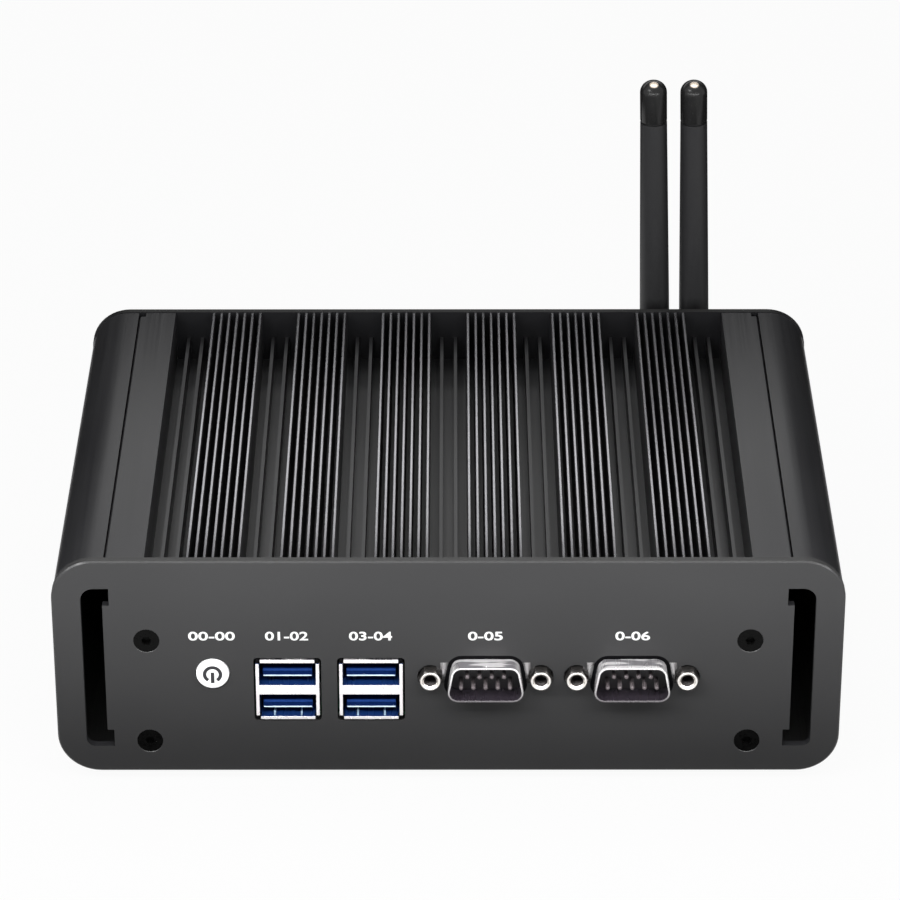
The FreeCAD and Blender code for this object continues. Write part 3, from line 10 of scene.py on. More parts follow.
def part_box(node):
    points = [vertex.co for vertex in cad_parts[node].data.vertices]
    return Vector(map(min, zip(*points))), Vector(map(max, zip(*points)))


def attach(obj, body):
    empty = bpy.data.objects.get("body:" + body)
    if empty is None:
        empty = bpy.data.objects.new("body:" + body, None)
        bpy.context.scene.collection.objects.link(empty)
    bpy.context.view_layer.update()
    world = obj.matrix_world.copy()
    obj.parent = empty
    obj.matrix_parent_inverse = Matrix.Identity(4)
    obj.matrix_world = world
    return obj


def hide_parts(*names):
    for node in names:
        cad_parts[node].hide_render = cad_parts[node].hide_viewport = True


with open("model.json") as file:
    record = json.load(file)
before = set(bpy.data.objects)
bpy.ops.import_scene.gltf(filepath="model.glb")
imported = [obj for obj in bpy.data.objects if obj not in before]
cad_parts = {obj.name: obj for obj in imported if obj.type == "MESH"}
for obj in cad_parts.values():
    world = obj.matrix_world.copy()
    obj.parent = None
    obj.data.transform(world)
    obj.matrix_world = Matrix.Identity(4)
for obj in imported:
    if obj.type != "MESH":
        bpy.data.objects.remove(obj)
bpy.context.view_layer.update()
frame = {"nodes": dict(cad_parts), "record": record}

# A fanless industrial computer: black anodised case with a finned top, ports at
# the front and back, and two stub antennas.  Lengths are in metres.
MM = 0.001
RECORD = frame["record"]
BODY_OF = {node: body for body, nodes in RECORD["behaviour"]["bodies"].items() for node in nodes}
SLOT_OF = {part["node"]: part["material_slot"] for part in RECORD["subparts"]}

# ------------------------------------------------------------ shared places
FACE_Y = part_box("front_panel")[0].y      # outer face of the front panel
REAR_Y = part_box("back_panel")[1].y       # outer face of the back panel
FIN_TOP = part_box("heatsink")[1].z
BAND_EDGE = 67.9 * MM                    # the fins stand inside this half width
SIDES = ("left", "right")
LEAN = math.radians(1.5)                 # both antennas lean towards -X by this much

# Spans that the finishes use, in millimetres: across from the middle, and up from the floor.
DUCT_ACROSS, DUCT_UP = (75.95, 86.9), (5.2, 53.1)
AIR_SLOT_ACROSS, AIR_SLOT_UP = (70.0, 84.5), (8.0, 51.0)


# ---------------------------------------------------------------- materials
class Nodes:
    """A node tree that is filled by short calls."""

    def __init__(self, owner):
        owner.use_nodes = True
        self.tree = owner.node_tree

    def feed(self, socket, value):
        """Sets a socket to a constant or links an output to it."""
        if isinstance(value, bpy.types.NodeSocket):
            self.tree.links.new(value, socket)
        elif value is not None:
            socket.default_value = value

    def node(self, kind, inputs=(), output=0, **settings):
        """Adds a node, feeds its sockets and returns one output."""
        node = self.tree.nodes.new(kind)
        for key, value in settings.items():
            setattr(node, key, value)
        for key, value in dict(inputs).items():
            self.feed(node.inputs[key], value)
        return node.outputs[output]

    def math(self, operation, a, b=None):
        return self.node("ShaderNodeMath", {0: a, 1: b}, operation=operation)

    def times(self, a, b):
        return self.math("MULTIPLY", a, b)


class Finish(Nodes):
    """One material in the making: a surface shader and the nodes that vary it."""

    def __init__(self, name, color, roughness, metallic=0.0, gloss=0.5):
        self.material = bpy.data.materials.new(name)
        super().__init__(self.material)
        self.shader = self.tree.nodes["Principled BSDF"]
        self.color = color
        self.roughness = roughness
        self.put("Base Color", (*color, 1.0))
        self.put("Roughness", roughness)
        self.put("Metallic", metallic)
        self.put("Specular IOR Level", gloss)

    def put(self, name, value):
        """Feeds a socket of the surface shader."""
        self.feed(self.shader.inputs[name], value)

    def place(self):
        """Object coordinates, in metres."""
        return self.node("ShaderNodeTexCoord", output=3)

    def scaled(self, size, shift=(0.0, 0.0, 0.0)):
        """Object coordinates counted in cells of a size in millimetres, one number or three."""
        scale = [1000.0 / s for s in np.broadcast_to(size, 3)]
        return self.node("ShaderNodeMapping", {0: self.place(), 1: shift, 3: scale})

    def noise(self, size, detail=2.0):
        """Cloudy noise whose blobs have the size in millimetres."""
        inputs = {"Vector": self.scaled(size), "Scale": 1.0, "Detail": detail}
        return self.node("ShaderNodeTexNoise", inputs)

    def cells(self, size, **settings):
        """Distance to the middle of the nearest of scattered cells, its size in millimetres."""
        inputs = {"Vector": self.scaled(size), "Scale": 1.0}
        return self.node("ShaderNodeTexVoronoi", inputs, feature="F1", **settings)

    def ramp(self, value, low, high, to_low=0.0, to_high=1.0):
        """Straight line from (low, to_low) to (high, to_high), held at its ends."""
        inputs = {0: value, 1: low, 2: high, 3: to_low, 4: to_high}
        return self.node("ShaderNodeMapRange", inputs)

    def within(self, value, span, fade):
        """1 inside the span, falling to 0 over a fade beyond each end."""
        low, high = span
        return self.times(self.ramp(value, low - fade, low), self.ramp(value, high + fade, high))

    def mix(self, factor, a, b):
        """Colour that goes from a to b with the factor."""
        a, b = (c if isinstance(c, bpy.types.NodeSocket) else (*c, 1.0) for c in (a, b))
        return self.node("ShaderNodeMix", {0: factor, 6: a, 7: b}, output=2, data_type="RGBA")

    def part(self, vector, letter):
        """The X, Y or Z of a vector."""
        return self.node("ShaderNodeSeparateXYZ", {0: vector}, output="XYZ".index(letter))

    def axis(self, letter):
        """One object coordinate, in millimetres."""
        return self.times(self.part(self.place(), letter), 1000.0)

    def facing(self, letter):
        """How far the surface faces along an axis of the object, from -1 to 1."""
        return self.part(self.node("ShaderNodeTexCoord", output=1), letter)

    def marked(self, name):
        """A value that the mesh itself carries on its faces."""
        return self.node("ShaderNodeAttribute", output=2, attribute_name=name)

    def bump(self, height, depth):
        """Relief of the given depth in millimetres where the height goes from 0 to 1."""
        inputs = {"Height": height, "Distance": depth * MM, "Strength": 1.0}
        self.put("Normal", self.node("ShaderNodeBump", inputs))

    def vary_color(self, value, low, high):
        """Colour between low and high times the finish's own, following a value."""
        dark = [c * low for c in self.color]
        light = [min(1.0, c * high) for c in self.color]
        self.put("Base Color", self.mix(value, dark, light))

    def vary_roughness(self, value, spread):
        """Roughness up to a spread below and above the finish's own, following a value."""
        low, high = self.roughness - spread, self.roughness + spread
        self.put("Roughness", self.ramp(value, 0.3, 0.7, low, high))


def extrusion_finish():
    """Black anodised extrusion: die lines along Y, painted shade that makes the insides of the side
    air passages near black (they are rougher there too), and bare milled fin tops with painted
    shade that darkens them near their front ends."""
    finish = Finish("anodised_extrusion", (0.020, 0.020, 0.021), 0.32)
    across, up = finish.math("ABSOLUTE", finish.axis("X")), finish.axis("Z")
    lines = finish.noise((0.30, 90.0, 0.30), 3.0)
    clouds = finish.noise((14.0, 60.0, 14.0), 2.0)
    tone = finish.mix(lines, (0.008, 0.008, 0.009), (0.017, 0.017, 0.018))
    tone = finish.mix(finish.ramp(clouds, 0.35, 0.65, 0.0, 0.35), tone, (0.023, 0.023, 0.024))
    # painted shade: the insides of the air passages through the sides are made near black
    duct = finish.times(finish.within(across, DUCT_ACROSS, 0.1), finish.within(up, DUCT_UP, 0.2))
    tone = finish.mix(duct, tone, (0.0005, 0.0005, 0.0005))
    height = finish.ramp(up, FIN_TOP / MM - 0.14, FIN_TOP / MM - 0.06)
    bare = finish.times(height, finish.ramp(across, BAND_EDGE / MM, BAND_EDGE / MM - 0.05))
    milled = finish.noise((4.0, 1.6, 4.0), 2.0)
    metal = finish.mix(milled, (0.38, 0.38, 0.395), (0.47, 0.47, 0.49))
    # painted shade: the bare fin tops darken towards the front panel, most within 3 mm of it
    ends = finish.ramp(finish.axis("Y"), FACE_Y / MM + 3.0, FACE_Y / MM + 15.0, 0.7, 0.0)
    metal = finish.mix(ends, metal, (0.13, 0.13, 0.135))
    finish.put("Base Color", finish.mix(bare, tone, metal))
    finish.put("Metallic", bare)
    rough = finish.ramp(lines, 0.3, 0.7, 0.29, 0.37)
    rough = finish.math("ADD", rough, finish.times(duct, 0.56))
    finish.put("Roughness", finish.math("SUBTRACT", rough, finish.times(bare, 0.08)))
    finish.bump(lines, 0.003)
    return finish.material


def panel_finish(name, inward, edge):
    """Bead-blasted dark grey anodised plate, smoother on its bevels, with painted shade that
    darkens it towards its foot, darkens faces that look up to the tone given for the top edge, and
    makes near black its slot walls, which are rougher too, and the face that looks into the case,
    which is the one whose Y has the sign of inward."""
    finish = Finish(name, (0.035, 0.035, 0.036), 0.50, gloss=0.27)
    across, up = finish.math("ABSOLUTE", finish.axis("X")), finish.axis("Z")
    grain = finish.noise(0.16, 2.0)
    clouds = finish.noise((38.0, 38.0, 22.0), 2.0)
    tone = finish.mix(grain, (0.031, 0.031, 0.032), (0.041, 0.041, 0.042))
    tone = finish.mix(finish.ramp(clouds, 0.35, 0.65, 0.0, 0.25), tone, (0.046, 0.046, 0.047))
    # painted shade: the plate darkens towards its foot, to 0.55 of its tone at z 0
    tone = finish.mix(finish.ramp(up, 0.0, 50.0, 0.45, 0.0), tone, (0.0, 0.0, 0.0))
    # painted shade: faces that look up take the darker tone given for the top edge
    tone = finish.mix(finish.ramp(finish.facing("Z"), 0.5, 0.9), tone, (edge, edge, edge))
    inner = finish.ramp(finish.times(finish.facing("Y"), inward), 0.6, 0.9)
    tilt = finish.math("ABSOLUTE", finish.facing("Y"))
    slot_across = finish.within(across, AIR_SLOT_ACROSS, 0.5)
    slot = finish.times(slot_across, finish.within(up, AIR_SLOT_UP, 1.0))
    walls = finish.times(slot, finish.ramp(tilt, 0.7, 0.4))
    # painted shade: the slot walls and the face that looks into the case are made near black
    dull = finish.math("MAXIMUM", inner, walls)
    finish.put("Base Color", finish.mix(dull, tone, (0.004, 0.004, 0.005)))
    bevel = finish.times(finish.ramp(tilt, 0.2, 0.5), finish.ramp(tilt, 0.95, 0.8))
    rough = finish.ramp(grain, 0.3, 0.7, 0.46, 0.56)
    rough = finish.math("ADD", rough, finish.times(walls, 0.5))
    finish.put("Roughness", finish.math("SUBTRACT", rough, finish.times(bevel, 0.26)))
    finish.bump(grain, 0.006)
    return finish.material


def black_oxide_finish():
    """Blackened steel: patches in its tone and gloss, and a finer grain in its relief."""
    finish = Finish("black_oxide", (0.0018, 0.0018, 0.0018), 0.30, gloss=0.07)
    patches = finish.noise(0.9, 3.0)
    finish.vary_color(patches, 0.5, 1.9)
    finish.vary_roughness(patches, 0.08)
    finish.bump(finish.noise(0.12), 0.004)
    return finish.material


def board_finish():
    """Green solder resist over copper tracks and small pads."""
    finish = Finish("circuit_board", (0.012, 0.075, 0.035), 0.30)
    squares = finish.cells((2.6, 2.6, 40.0), distance="CHEBYCHEV")
    tracks = finish.ramp(finish.math("FRACT", finish.times(squares, 3.0)), 0.42, 0.5)
    resist = finish.mix(tracks, (0.009, 0.055, 0.026), (0.020, 0.115, 0.05))
    pads = finish.ramp(finish.cells((1.7, 1.7, 40.0)), 0.12, 0.09)
    finish.put("Base Color", finish.mix(pads, resist, (0.62, 0.60, 0.52)))
    finish.bump(tracks, 0.02)
    return finish.material


def milled_finish():
    """Milled aluminium with the arcs of a face cutter."""
    finish = Finish("milled_aluminium", (0.72, 0.73, 0.75), 0.3, 1.0)
    off_center = finish.scaled(9.0, (6.0, 2.0, 0.0))
    inputs = {"Vector": off_center, "Scale": 5.0, "Distortion": 0.6}
    arcs = finish.node("ShaderNodeTexWave", inputs, output=1, wave_type="RINGS")
    finish.vary_color(arcs, 0.9, 1.05)
    finish.vary_roughness(arcs, 0.06)
    finish.bump(arcs, 0.006)
    return finish.material


def plated_sheet_finish(name="plated_sheet", inside_shade_tone=(0.10, 0.10, 0.10), foot=0.0):
    """Bright nickel on drawn steel sheet, with streaks along Y and painted reflections as dark
    stripes on top.  Faces the mesh marks as deep inside a socket take a painted shade in the tone
    of the plastic beside them, and no metal.  Towards a foot height in mm painted shade darkens the
    plating."""
    metallic, foot_shade_share = 0.62, 0.90
    finish = Finish(name, (0.95, 0.93, 0.94), 0.25, metallic)
    streaks = finish.noise((1.6, 16.0, 2.6), 1.0)
    clouds = finish.noise(3.4, 1.0)
    tone = finish.mix(finish.ramp(streaks, 0.35, 0.65), (0.91, 0.89, 0.90), (1.0, 0.99, 0.99))
    tone = finish.mix(finish.ramp(clouds, 0.42, 0.66, 0.0, 0.4), tone, (0.86, 0.80, 0.83))
    # painted reflection: dark stripes on the faces that look up
    painted_reflection_bands = finish.ramp(finish.noise((9.0, 1.3, 9.0), 1.0), 0.46, 0.54, 0.0, 0.85)
    painted_reflection_bands = finish.times(painted_reflection_bands, finish.ramp(finish.facing("Z"), 0.6, 0.9))
    tone = finish.mix(painted_reflection_bands, tone, (0.20, 0.19, 0.21))
    # painted shade: the plating darkens from 6 mm above the foot height down to it
    low = finish.ramp(finish.axis("Z"), foot + 6.0, foot - 0.4, 0.0, foot_shade_share)
    tone = finish.mix(low, tone, (0.10, 0.09, 0.10))
    # painted shade: faces that the mesh marks as deep inside a socket take a dark tone and lose
    # their metal
    painted_shade_inside = finish.marked("painted_shade_inside")
    finish.put("Base Color", finish.mix(painted_shade_inside, tone, inside_shade_tone))
    finish.put("Metallic", finish.ramp(painted_shade_inside, 0.0, 1.0, metallic, 0.0))
    finish.vary_roughness(streaks, 0.07)
    finish.bump(finish.math("ADD", streaks, clouds), 0.0015)
    return finish.material


def blue_plastic_finish(name, deep, front):
    """Moulded plastic, of one tone inside the port and another, painted light and shade, on its
    front and top faces.
    """
    finish = Finish(name, deep, 0.40, gloss=0.02)
    grain = finish.noise((0.5, 2.5, 0.5), 2.0)
    # painted light and shade: faces that look forward or up take the front tone
    painted_light_side = finish.math("MAXIMUM", finish.times(finish.facing("Y"), -1.0), finish.facing("Z"))
    tone = finish.mix(finish.ramp(painted_light_side, 0.4, 0.8), deep, front)
    pale = finish.mix(0.2, tone, (0.05, 0.12, 0.40))
    finish.put("Base Color", finish.mix(finish.ramp(grain, 0.4, 0.8, 0.0, 0.4), tone, pale))
    finish.vary_roughness(grain, 0.06)
    finish.bump(grain, 0.01)
    return finish.material


def turned_nickel_finish(name="turned_nickel", side_shade=0.0):
    """Nickel on turned brass: faint rings across the Y axis and a warm tint.  Painted shade darkens
    its faces that do not look along Y by a given share."""
    finish = Finish(name, (0.93, 0.91, 0.88), 0.22, 0.85)
    rings = finish.noise((5.0, 0.14, 5.0), 2.0)
    patches = finish.noise(1.6, 2.0)
    tone = finish.mix(rings, (0.84, 0.81, 0.77), (0.98, 0.96, 0.93))
    tone = finish.mix(finish.ramp(patches, 0.45, 0.75, 0.0, 0.4), tone, (0.82, 0.70, 0.62))
    # painted shade: faces that do not look along Y are darkened by the given share
    sides = finish.ramp(finish.math("ABSOLUTE", finish.facing("Y")), 0.45, 0.2, 0.0, side_shade)
    finish.put("Base Color", finish.mix(sides, tone, (0.014, 0.011, 0.011)))
    finish.vary_roughness(rings, 0.06)
    finish.bump(rings, 0.004)
    return finish.material


def cap_finish():
    """Glossy black plastic with a painted highlight: a warm metallic spot where it faces up and a
    little ahead.
    """
    finish = Finish("antenna_tip", (0.013, 0.013, 0.013), 0.24, gloss=0.25)
    grain = finish.noise(0.3, 2.0)
    upward, ahead = finish.times(finish.facing("Z"), 0.90), finish.times(finish.facing("Y"), 0.44)
    # painted highlight: a warm metallic spot where the cap faces up and a little ahead
    crown_highlight = finish.ramp(finish.math("SUBTRACT", upward, ahead), 0.945, 0.985)
    tone = finish.mix(grain, (0.011, 0.011, 0.011), (0.016, 0.016, 0.016))
    finish.put("Base Color", finish.mix(crown_highlight, tone, (0.95, 0.82, 0.68)))
    finish.put("Metallic", finish.ramp(crown_highlight, 0.0, 1.0, 0.0, 0.65))
    finish.vary_roughness(grain, 0.04)
    finish.bump(grain, 0.003)
    return finish.material


def grained_finish(name, color, roughness, tones, spread, depth, size, detail=2.0, metallic=0.0,
                   gloss=0.5):
    """One cloudy grain of a size in mm that varies the tone between two shares of the colour,
    varies the roughness by a spread, and gives a relief of a depth in mm."""
    finish = Finish(name, color, roughness, metallic, gloss)
    grain = finish.noise(size, detail)
    finish.vary_color(grain, *tones)
    finish.vary_roughness(grain, spread)
    finish.bump(grain, depth)
    return finish.material


def ink_finish(name, color, roughness, gloss=0.5):
    """Printed ink or moulded plastic: slightly uneven in tone, with a soft relief."""
    return grained_finish(name, color, roughness, (0.85, 1.1), 0.06, 0.003, 0.12, gloss=gloss)


FINISHES = {
    "case_black": extrusion_finish(),
    "panel_black": panel_finish("anodised_plate", 1.0, 0.022),
    "screw_black": black_oxide_finish(),
    "circuit_board": board_finish(),
    "spreader_metal": milled_finish(),
    "connector_steel": plated_sheet_finish(),
    "usb_blue": blue_plastic_finish("blue_plastic", (0.020, 0.085, 0.36), (0.0015, 0.010, 0.060)),
    "jackscrew_nickel": turned_nickel_finish(),
    "antenna_cap_black": cap_finish(),
}
# Slot: name, colour, roughness, shares of tone, spread of roughness, relief, grain size,
# grain detail, metallic and gloss.
GRAINED = {
    "foot_rubber": ("foot_rubber", (0.018, 0.018, 0.018), 0.78, (0.7, 1.5), 0.08, 0.03, 0.25, 3.0),
    "brass": ("turned_brass", (0.72, 0.53, 0.24), 0.28, (0.85, 1.1), 0.08, 0.006, (6.0, 6.0, 0.12),
              2.0, 1.0),
    "zinc_steel": ("zinc_steel", (0.60, 0.60, 0.62), 0.34, (0.85, 1.12), 0.08, 0.005, 0.8,
                   3.0, 1.0),
    "chip_black": ("chip_mould", (0.022, 0.022, 0.023), 0.55, (0.7, 1.5), 0.08, 0.01, 0.10),
    "pad_grey": ("thermal_pad", (0.40, 0.43, 0.47), 0.7, (0.8, 1.15), 0.08, 0.03, 0.3, 3.0),
    "socket_black": ("socket_plastic", (0.016, 0.014, 0.016), 0.42, (0.7, 1.6), 0.07, 0.008, 0.20),
    "contact_gold": ("gold_plate", (0.62, 0.50, 0.36), 0.30, (0.82, 1.08), 0.06, 0.004, 0.5,
                     3.0, 1.0),
    "button_white": ("button_plastic", (0.95, 0.955, 0.96), 0.32, (0.95, 1.02), 0.05, 0.004, 0.35),
    "antenna_black": ("antenna_sleeve", (0.017, 0.017, 0.018), 0.46, (0.75, 1.4), 0.06, 0.008,
                      (0.22, 0.22, 0.6), 3.0, 0.0, 0.32),
    "coax_sleeve": ("coax_sleeve", (0.02, 0.02, 0.02), 0.38, (0.8, 1.4), 0.06, 0.004,
                    (0.2, 0.6, 0.2)),
}
FINISHES.update({slot: grained_finish(*row) for slot, row in GRAINED.items()})
WHITE_INK = ink_finish("white_ink", (0.78, 0.78, 0.77), 0.55)
DARK_INK = ink_finish("dark_ink", (0.020, 0.020, 0.024), 0.45)
# painted shade: a dark grey in place of metal for the pins deep inside the serial sockets
SHADED_CONTACT = ink_finish("shaded_contact", (0.11, 0.095, 0.10), 0.40, 0.3)
SHADOW_BLACK = ink_finish("shadow_black", (0.0025, 0.0025, 0.003), 0.60, 0.04)
SPRING_STEEL = ink_finish("spring_steel", (0.24, 0.34, 0.44), 0.34)
SIDE_SHADED_NICKEL = turned_nickel_finish("side_shaded_nickel", 0.9)
# painted shade: the back plate's top edge is near black
BACK_PLATE = panel_finish("anodised_back_plate", -1.0, 0.004)
# painted highlight: pale blue for the strips that draw a light line under each tongue
PAINTED_HIGHLIGHT_BLUE = blue_plastic_finish("highlight_blue_plastic", (0.60, 0.76, 1.0), (0.66, 0.82, 1.0))
# painted shade: sheet whose walls deep inside the ports are navy, or near black for the serial
# shells
NAVY_SHADED_SHEET = plated_sheet_finish("navy_shaded_sheet", (0.005, 0.020, 0.085))
# painted shade: these shells darken below 30 mm above the floor
DARK_SHADED_SHEET = plated_sheet_finish("dark_shaded_sheet", (0.022, 0.018, 0.024), 24.0)
# Metal inside a threaded bore, made dark by painted shade, and a pale green light pipe that is not
# lit.
SHADED_THREAD = grained_finish("threaded_bore", (0.030, 0.026, 0.026), 0.42, (0.5, 1.6), 0.08, 0.004,
                             (0.5, 0.3, 0.5), 2.0, 0.6)
LIGHT_WINDOW = grained_finish("light_window", (0.42, 0.52, 0.36), 0.22, (0.85, 1.1), 0.05, 0.004,
                              0.6)


# ------------------------------------------------------------------- shapes
def arc(center, radius, start, end, steps=6):
    """Points of an arc in a profile; angles in degrees from the first axis."""
    angle = np.radians(np.linspace(start, end, steps + 1))
    return np.stack([center[0] + radius * np.cos(angle), center[1] + radius * np.sin(angle)], -1)


def around(radius, height, place, toward="Y"):
    """Grid (height, angle): radius(height, angle) across the axis and height along it, in
    millimetres from a place in metres."""
    angle = np.linspace(0, 2 * np.pi, radius.shape[1], endpoint=False)
    across, up = radius * np.cos(angle), radius * np.sin(angle)
    along = np.broadcast_to(np.asarray(height)[:, None], across.shape)
    order = (across, along, up) if toward == "Y" else (across, up, along)
    return np.stack(order, -1) * MM + np.asarray(place)


def turned(profile, place, toward="Y", sides=64):
    """Surface of revolution: each (radius, height) of the profile goes round the axis."""
    profile = np.asarray(profile, float)
    return around(np.repeat(profile[:, :1], sides, 1), profile[:, 1], place, toward)


def hexed(profile, flats, place, sides=72):
    """Turned surface cut to a hexagon: radius = min(profile, flats / 2 / cos(turn from a flat))."""
    profile = np.asarray(profile, float)
    angle = np.linspace(0, 360, sides, endpoint=False)
    hexagon = flats / 2 / np.cos(np.radians(angle % 60 - 30))
    return around(np.minimum(profile[:, :1], hexagon), profile[:, 1], place)


def soft_block(low, high, radius, steps=3):
    """Block with round edges: the eight parts of a small sphere, each moved out to its corner.
    Corners in metres, radius in millimetres."""
    low, high, radius = np.asarray(low, float), np.asarray(high, float), radius * MM
    quarter = np.linspace(0, 90, steps + 1)
    turn = np.radians(np.concatenate([quarter + start for start in (0, 90, 180, 270)]))
    rise = np.radians(np.concatenate([quarter - 90, quarter]))
    out_x, out_y = (np.repeat(signs, steps + 1) for signs in ((1, -1, -1, 1), (1, 1, -1, -1)))
    out_z = np.repeat((-1, 1), steps + 1)
    reach = (high - low) / 2 - radius
    flat = radius * np.cos(rise)[:, None]
    height = (out_z * reach[2] + radius * np.sin(rise))[:, None]
    points = np.stack([
        out_x * reach[0] + flat * np.cos(turn),
        out_y * reach[1] + flat * np.sin(turn),
        np.broadcast_to(height, (rise.size, turn.size)),
    ], -1)
    return points + (low + high) / 2


def band(path, corners):
    """Rings (path, corner) of a section carried along a path: the path's (x, y, z), each a
    number or an array, moved in x and z by each of the section's (dx, dz)."""
    x, y, z = np.broadcast_arrays(*path)
    return np.stack([np.stack([x + dx, y, z + dz], -1) for dx, dz in corners], 1)


def grid_faces(rows, columns, closed):
    """Quads between neighbours of a grid whose last column joins its first, and whose last row
    does so too where it is closed."""
    row = np.arange(rows if closed else rows - 1)[:, None]
    column = np.arange(columns)[None, :]
    after, beside = (row + 1) % rows, (column + 1) % columns
    here, there = row * columns, after * columns
    corners = (here + column, here + beside, there + beside, there + column)
    return np.stack(np.broadcast_arrays(*corners), -1).reshape(-1, 4)


def surface(name, grids, closed, angle):
    """One mesh of several grids; the open ends of each are closed by a flat face."""
    points, faces, start = [], [], 0
    for grid in grids:
        rows, columns = grid.shape[:2]
        points.append(grid.reshape(-1, 3))
        faces.extend((grid_faces(rows, columns, closed) + start).tolist())
        if not closed:
            first = np.arange(columns) + start
            last = first + (rows - 1) * columns
            faces.extend([first.tolist(), last[::-1].tolist()])
        start += rows * columns
    mesh = bpy.data.meshes.new(name)
    mesh.from_pydata(np.concatenate(points).tolist(), [], faces)
    return finish_mesh(mesh, angle)


def finish_mesh(mesh, angle):
    """Joins doubled points, turns the faces outwards and shades the rounds smooth."""
    doubled = 0.0008 * MM
    work = bmesh.new()
    work.from_mesh(mesh)
    bmesh.ops.remove_doubles(work, verts=work.verts, dist=doubled)
    bmesh.ops.recalc_face_normals(work, faces=work.faces)
    work.to_mesh(mesh)
    work.free()
    mesh.shade_smooth()
    mesh.set_sharp_from_angle(angle=math.radians(angle))
    return mesh


def field(items, name, width, kind=np.float32):
    """One field of a mesh's points, edges or faces, as rows of a width."""
    values = np.empty(len(items) * width, kind)
    items.foreach_get(name, values)
    return values.reshape(-1, width)


def mid_line(node):
    """X and Z of the line through the middle of a node's box, along Y."""
    low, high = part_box(node)
    return (low.x + high.x) / 2, (low.z + high.z) / 2


# ------------------------------------------------------------------- pieces
def join_piece(name, mesh, body, slot, material=None):
    """Puts a finished mesh in the scene, on its body, with its slot's finish unless a material is
    given.
    """
    mesh.materials.clear()
    mesh.materials.append(material or FINISHES[slot])
    piece = bpy.data.objects.new(name, mesh)
    bpy.context.scene.collection.objects.link(piece)
    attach(piece, body)
    return piece


def build(name, body, slot, *grids, material=None, closed=False, angle=32.0):
    """A new piece made of grids, which are closed loops or have their open ends closed."""
    return join_piece(name, surface(name, grids, closed, angle), body, slot, material)


def whole_mesh(node):
    """The node's triangles joined into one skin, with its flat faces made whole."""
    mesh = frame["nodes"][node].data.copy()
    custom = mesh.attributes.get("custom_normal")
    if custom:
        mesh.attributes.remove(custom)
    doubled, flat = 0.002 * MM, math.radians(0.4)
    work = bmesh.new()
    work.from_mesh(mesh)
    bmesh.ops.remove_doubles(work, verts=work.verts, dist=doubled)
    bmesh.ops.dissolve_limit(work, angle_limit=flat, verts=work.verts, edges=work.edges)
    work.to_mesh(mesh)
    work.free()
    mesh.shade_smooth()
    return mesh


def stand_for(piece, node):
    """The piece takes the node's place."""
    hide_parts(node)
    return piece


def join_copy(node, mesh, material=None):
    """Puts a mesh made from a node in the scene, on the node's body, with its slot's finish unless
    a material is given.
    """
    return join_piece(node + "_piece", mesh, BODY_OF[node], SLOT_OF[node], material)


def keep_flats(piece):
    """Shades the flat faces of a piece flat beside its rounds."""
    piece.modifiers.new("flat_faces", "WEIGHTED_NORMAL").keep_sharp = True
    return piece


def smooth_copy(node, angle=28.0):
    """The node's own shape, with its rounds shaded smooth and its flats kept flat."""
    mesh = whole_mesh(node)
    mesh.set_sharp_from_angle(angle=math.radians(angle))
    return stand_for(keep_flats(join_copy(node, mesh)), node)


def ease_edges(piece, width, segments=2, angle=30.0):
    """Rounds the sharp edges of a piece by a width in millimetres."""
    bevel = piece.modifiers.new("eased_edges", "BEVEL")
    bevel.width = width * MM
    bevel.segments = segments
    bevel.limit_method = "ANGLE"
    bevel.angle_limit = math.radians(angle)
    bevel.harden_normals = True
    return piece


def eased_copy(node, width, segments=2):
    """The node's own shape with its sharp edges rounded."""
    return stand_for(ease_edges(join_copy(node, whole_mesh(node)), width, segments), node)


def shade_inside_copy(node, width, painted_shade_inside, material):
    """An eased copy whose faces are marked for painted shade where the test of (middles, normals)
    holds.
    """
    mesh = whole_mesh(node)
    marks = painted_shade_inside(field(mesh.polygons, "center", 3), field(mesh.polygons, "normal", 3))
    values = mesh.attributes.new("painted_shade_inside", "FLOAT", "FACE").data
    values.foreach_set("value", marks.astype(np.float32))
    return stand_for(ease_edges(join_copy(node, mesh, material), width), node)


def dress_nodes():
    """Gives every CAD node its finish."""
    for name, cad in frame["nodes"].items():
        cad.data.materials.clear()
        cad.data.materials.append(FINISHES[SLOT_OF[name]])


def finned_heatsink():
    """The heatsink with the long top edges of its fins rounded."""
    node = "heatsink"
    near_top, still, long, tip_round = 0.02 * MM, 0.001 * MM, 5 * MM, 0.14 * MM
    mesh = whole_mesh(node)
    mesh.set_sharp_from_angle(angle=math.radians(28))
    ends = field(mesh.vertices, "co", 3)[field(mesh.edges, "vertices", 2, np.int32)]
    high = (ends[:, :, 2] > FIN_TOP - near_top).all(1)
    inside = (np.abs(ends[:, :, 0]) < BAND_EDGE).all(1)
    run = np.abs(ends[:, 1] - ends[:, 0])
    lengthwise = (run[:, 0] < still) & (run[:, 1] > long)
    weights = mesh.attributes.new("bevel_weight_edge", "FLOAT", "EDGE")
    weights.data.foreach_set("value", (high & inside & lengthwise).astype(np.float32))
    piece = join_piece("finned_heatsink", mesh, BODY_OF[node], SLOT_OF[node])
    bevel = piece.modifiers.new("round_tips", "BEVEL")
    bevel.limit_method = "WEIGHT"
    bevel.width = tip_round
    bevel.segments = 3
    stand_for(keep_flats(piece), node)


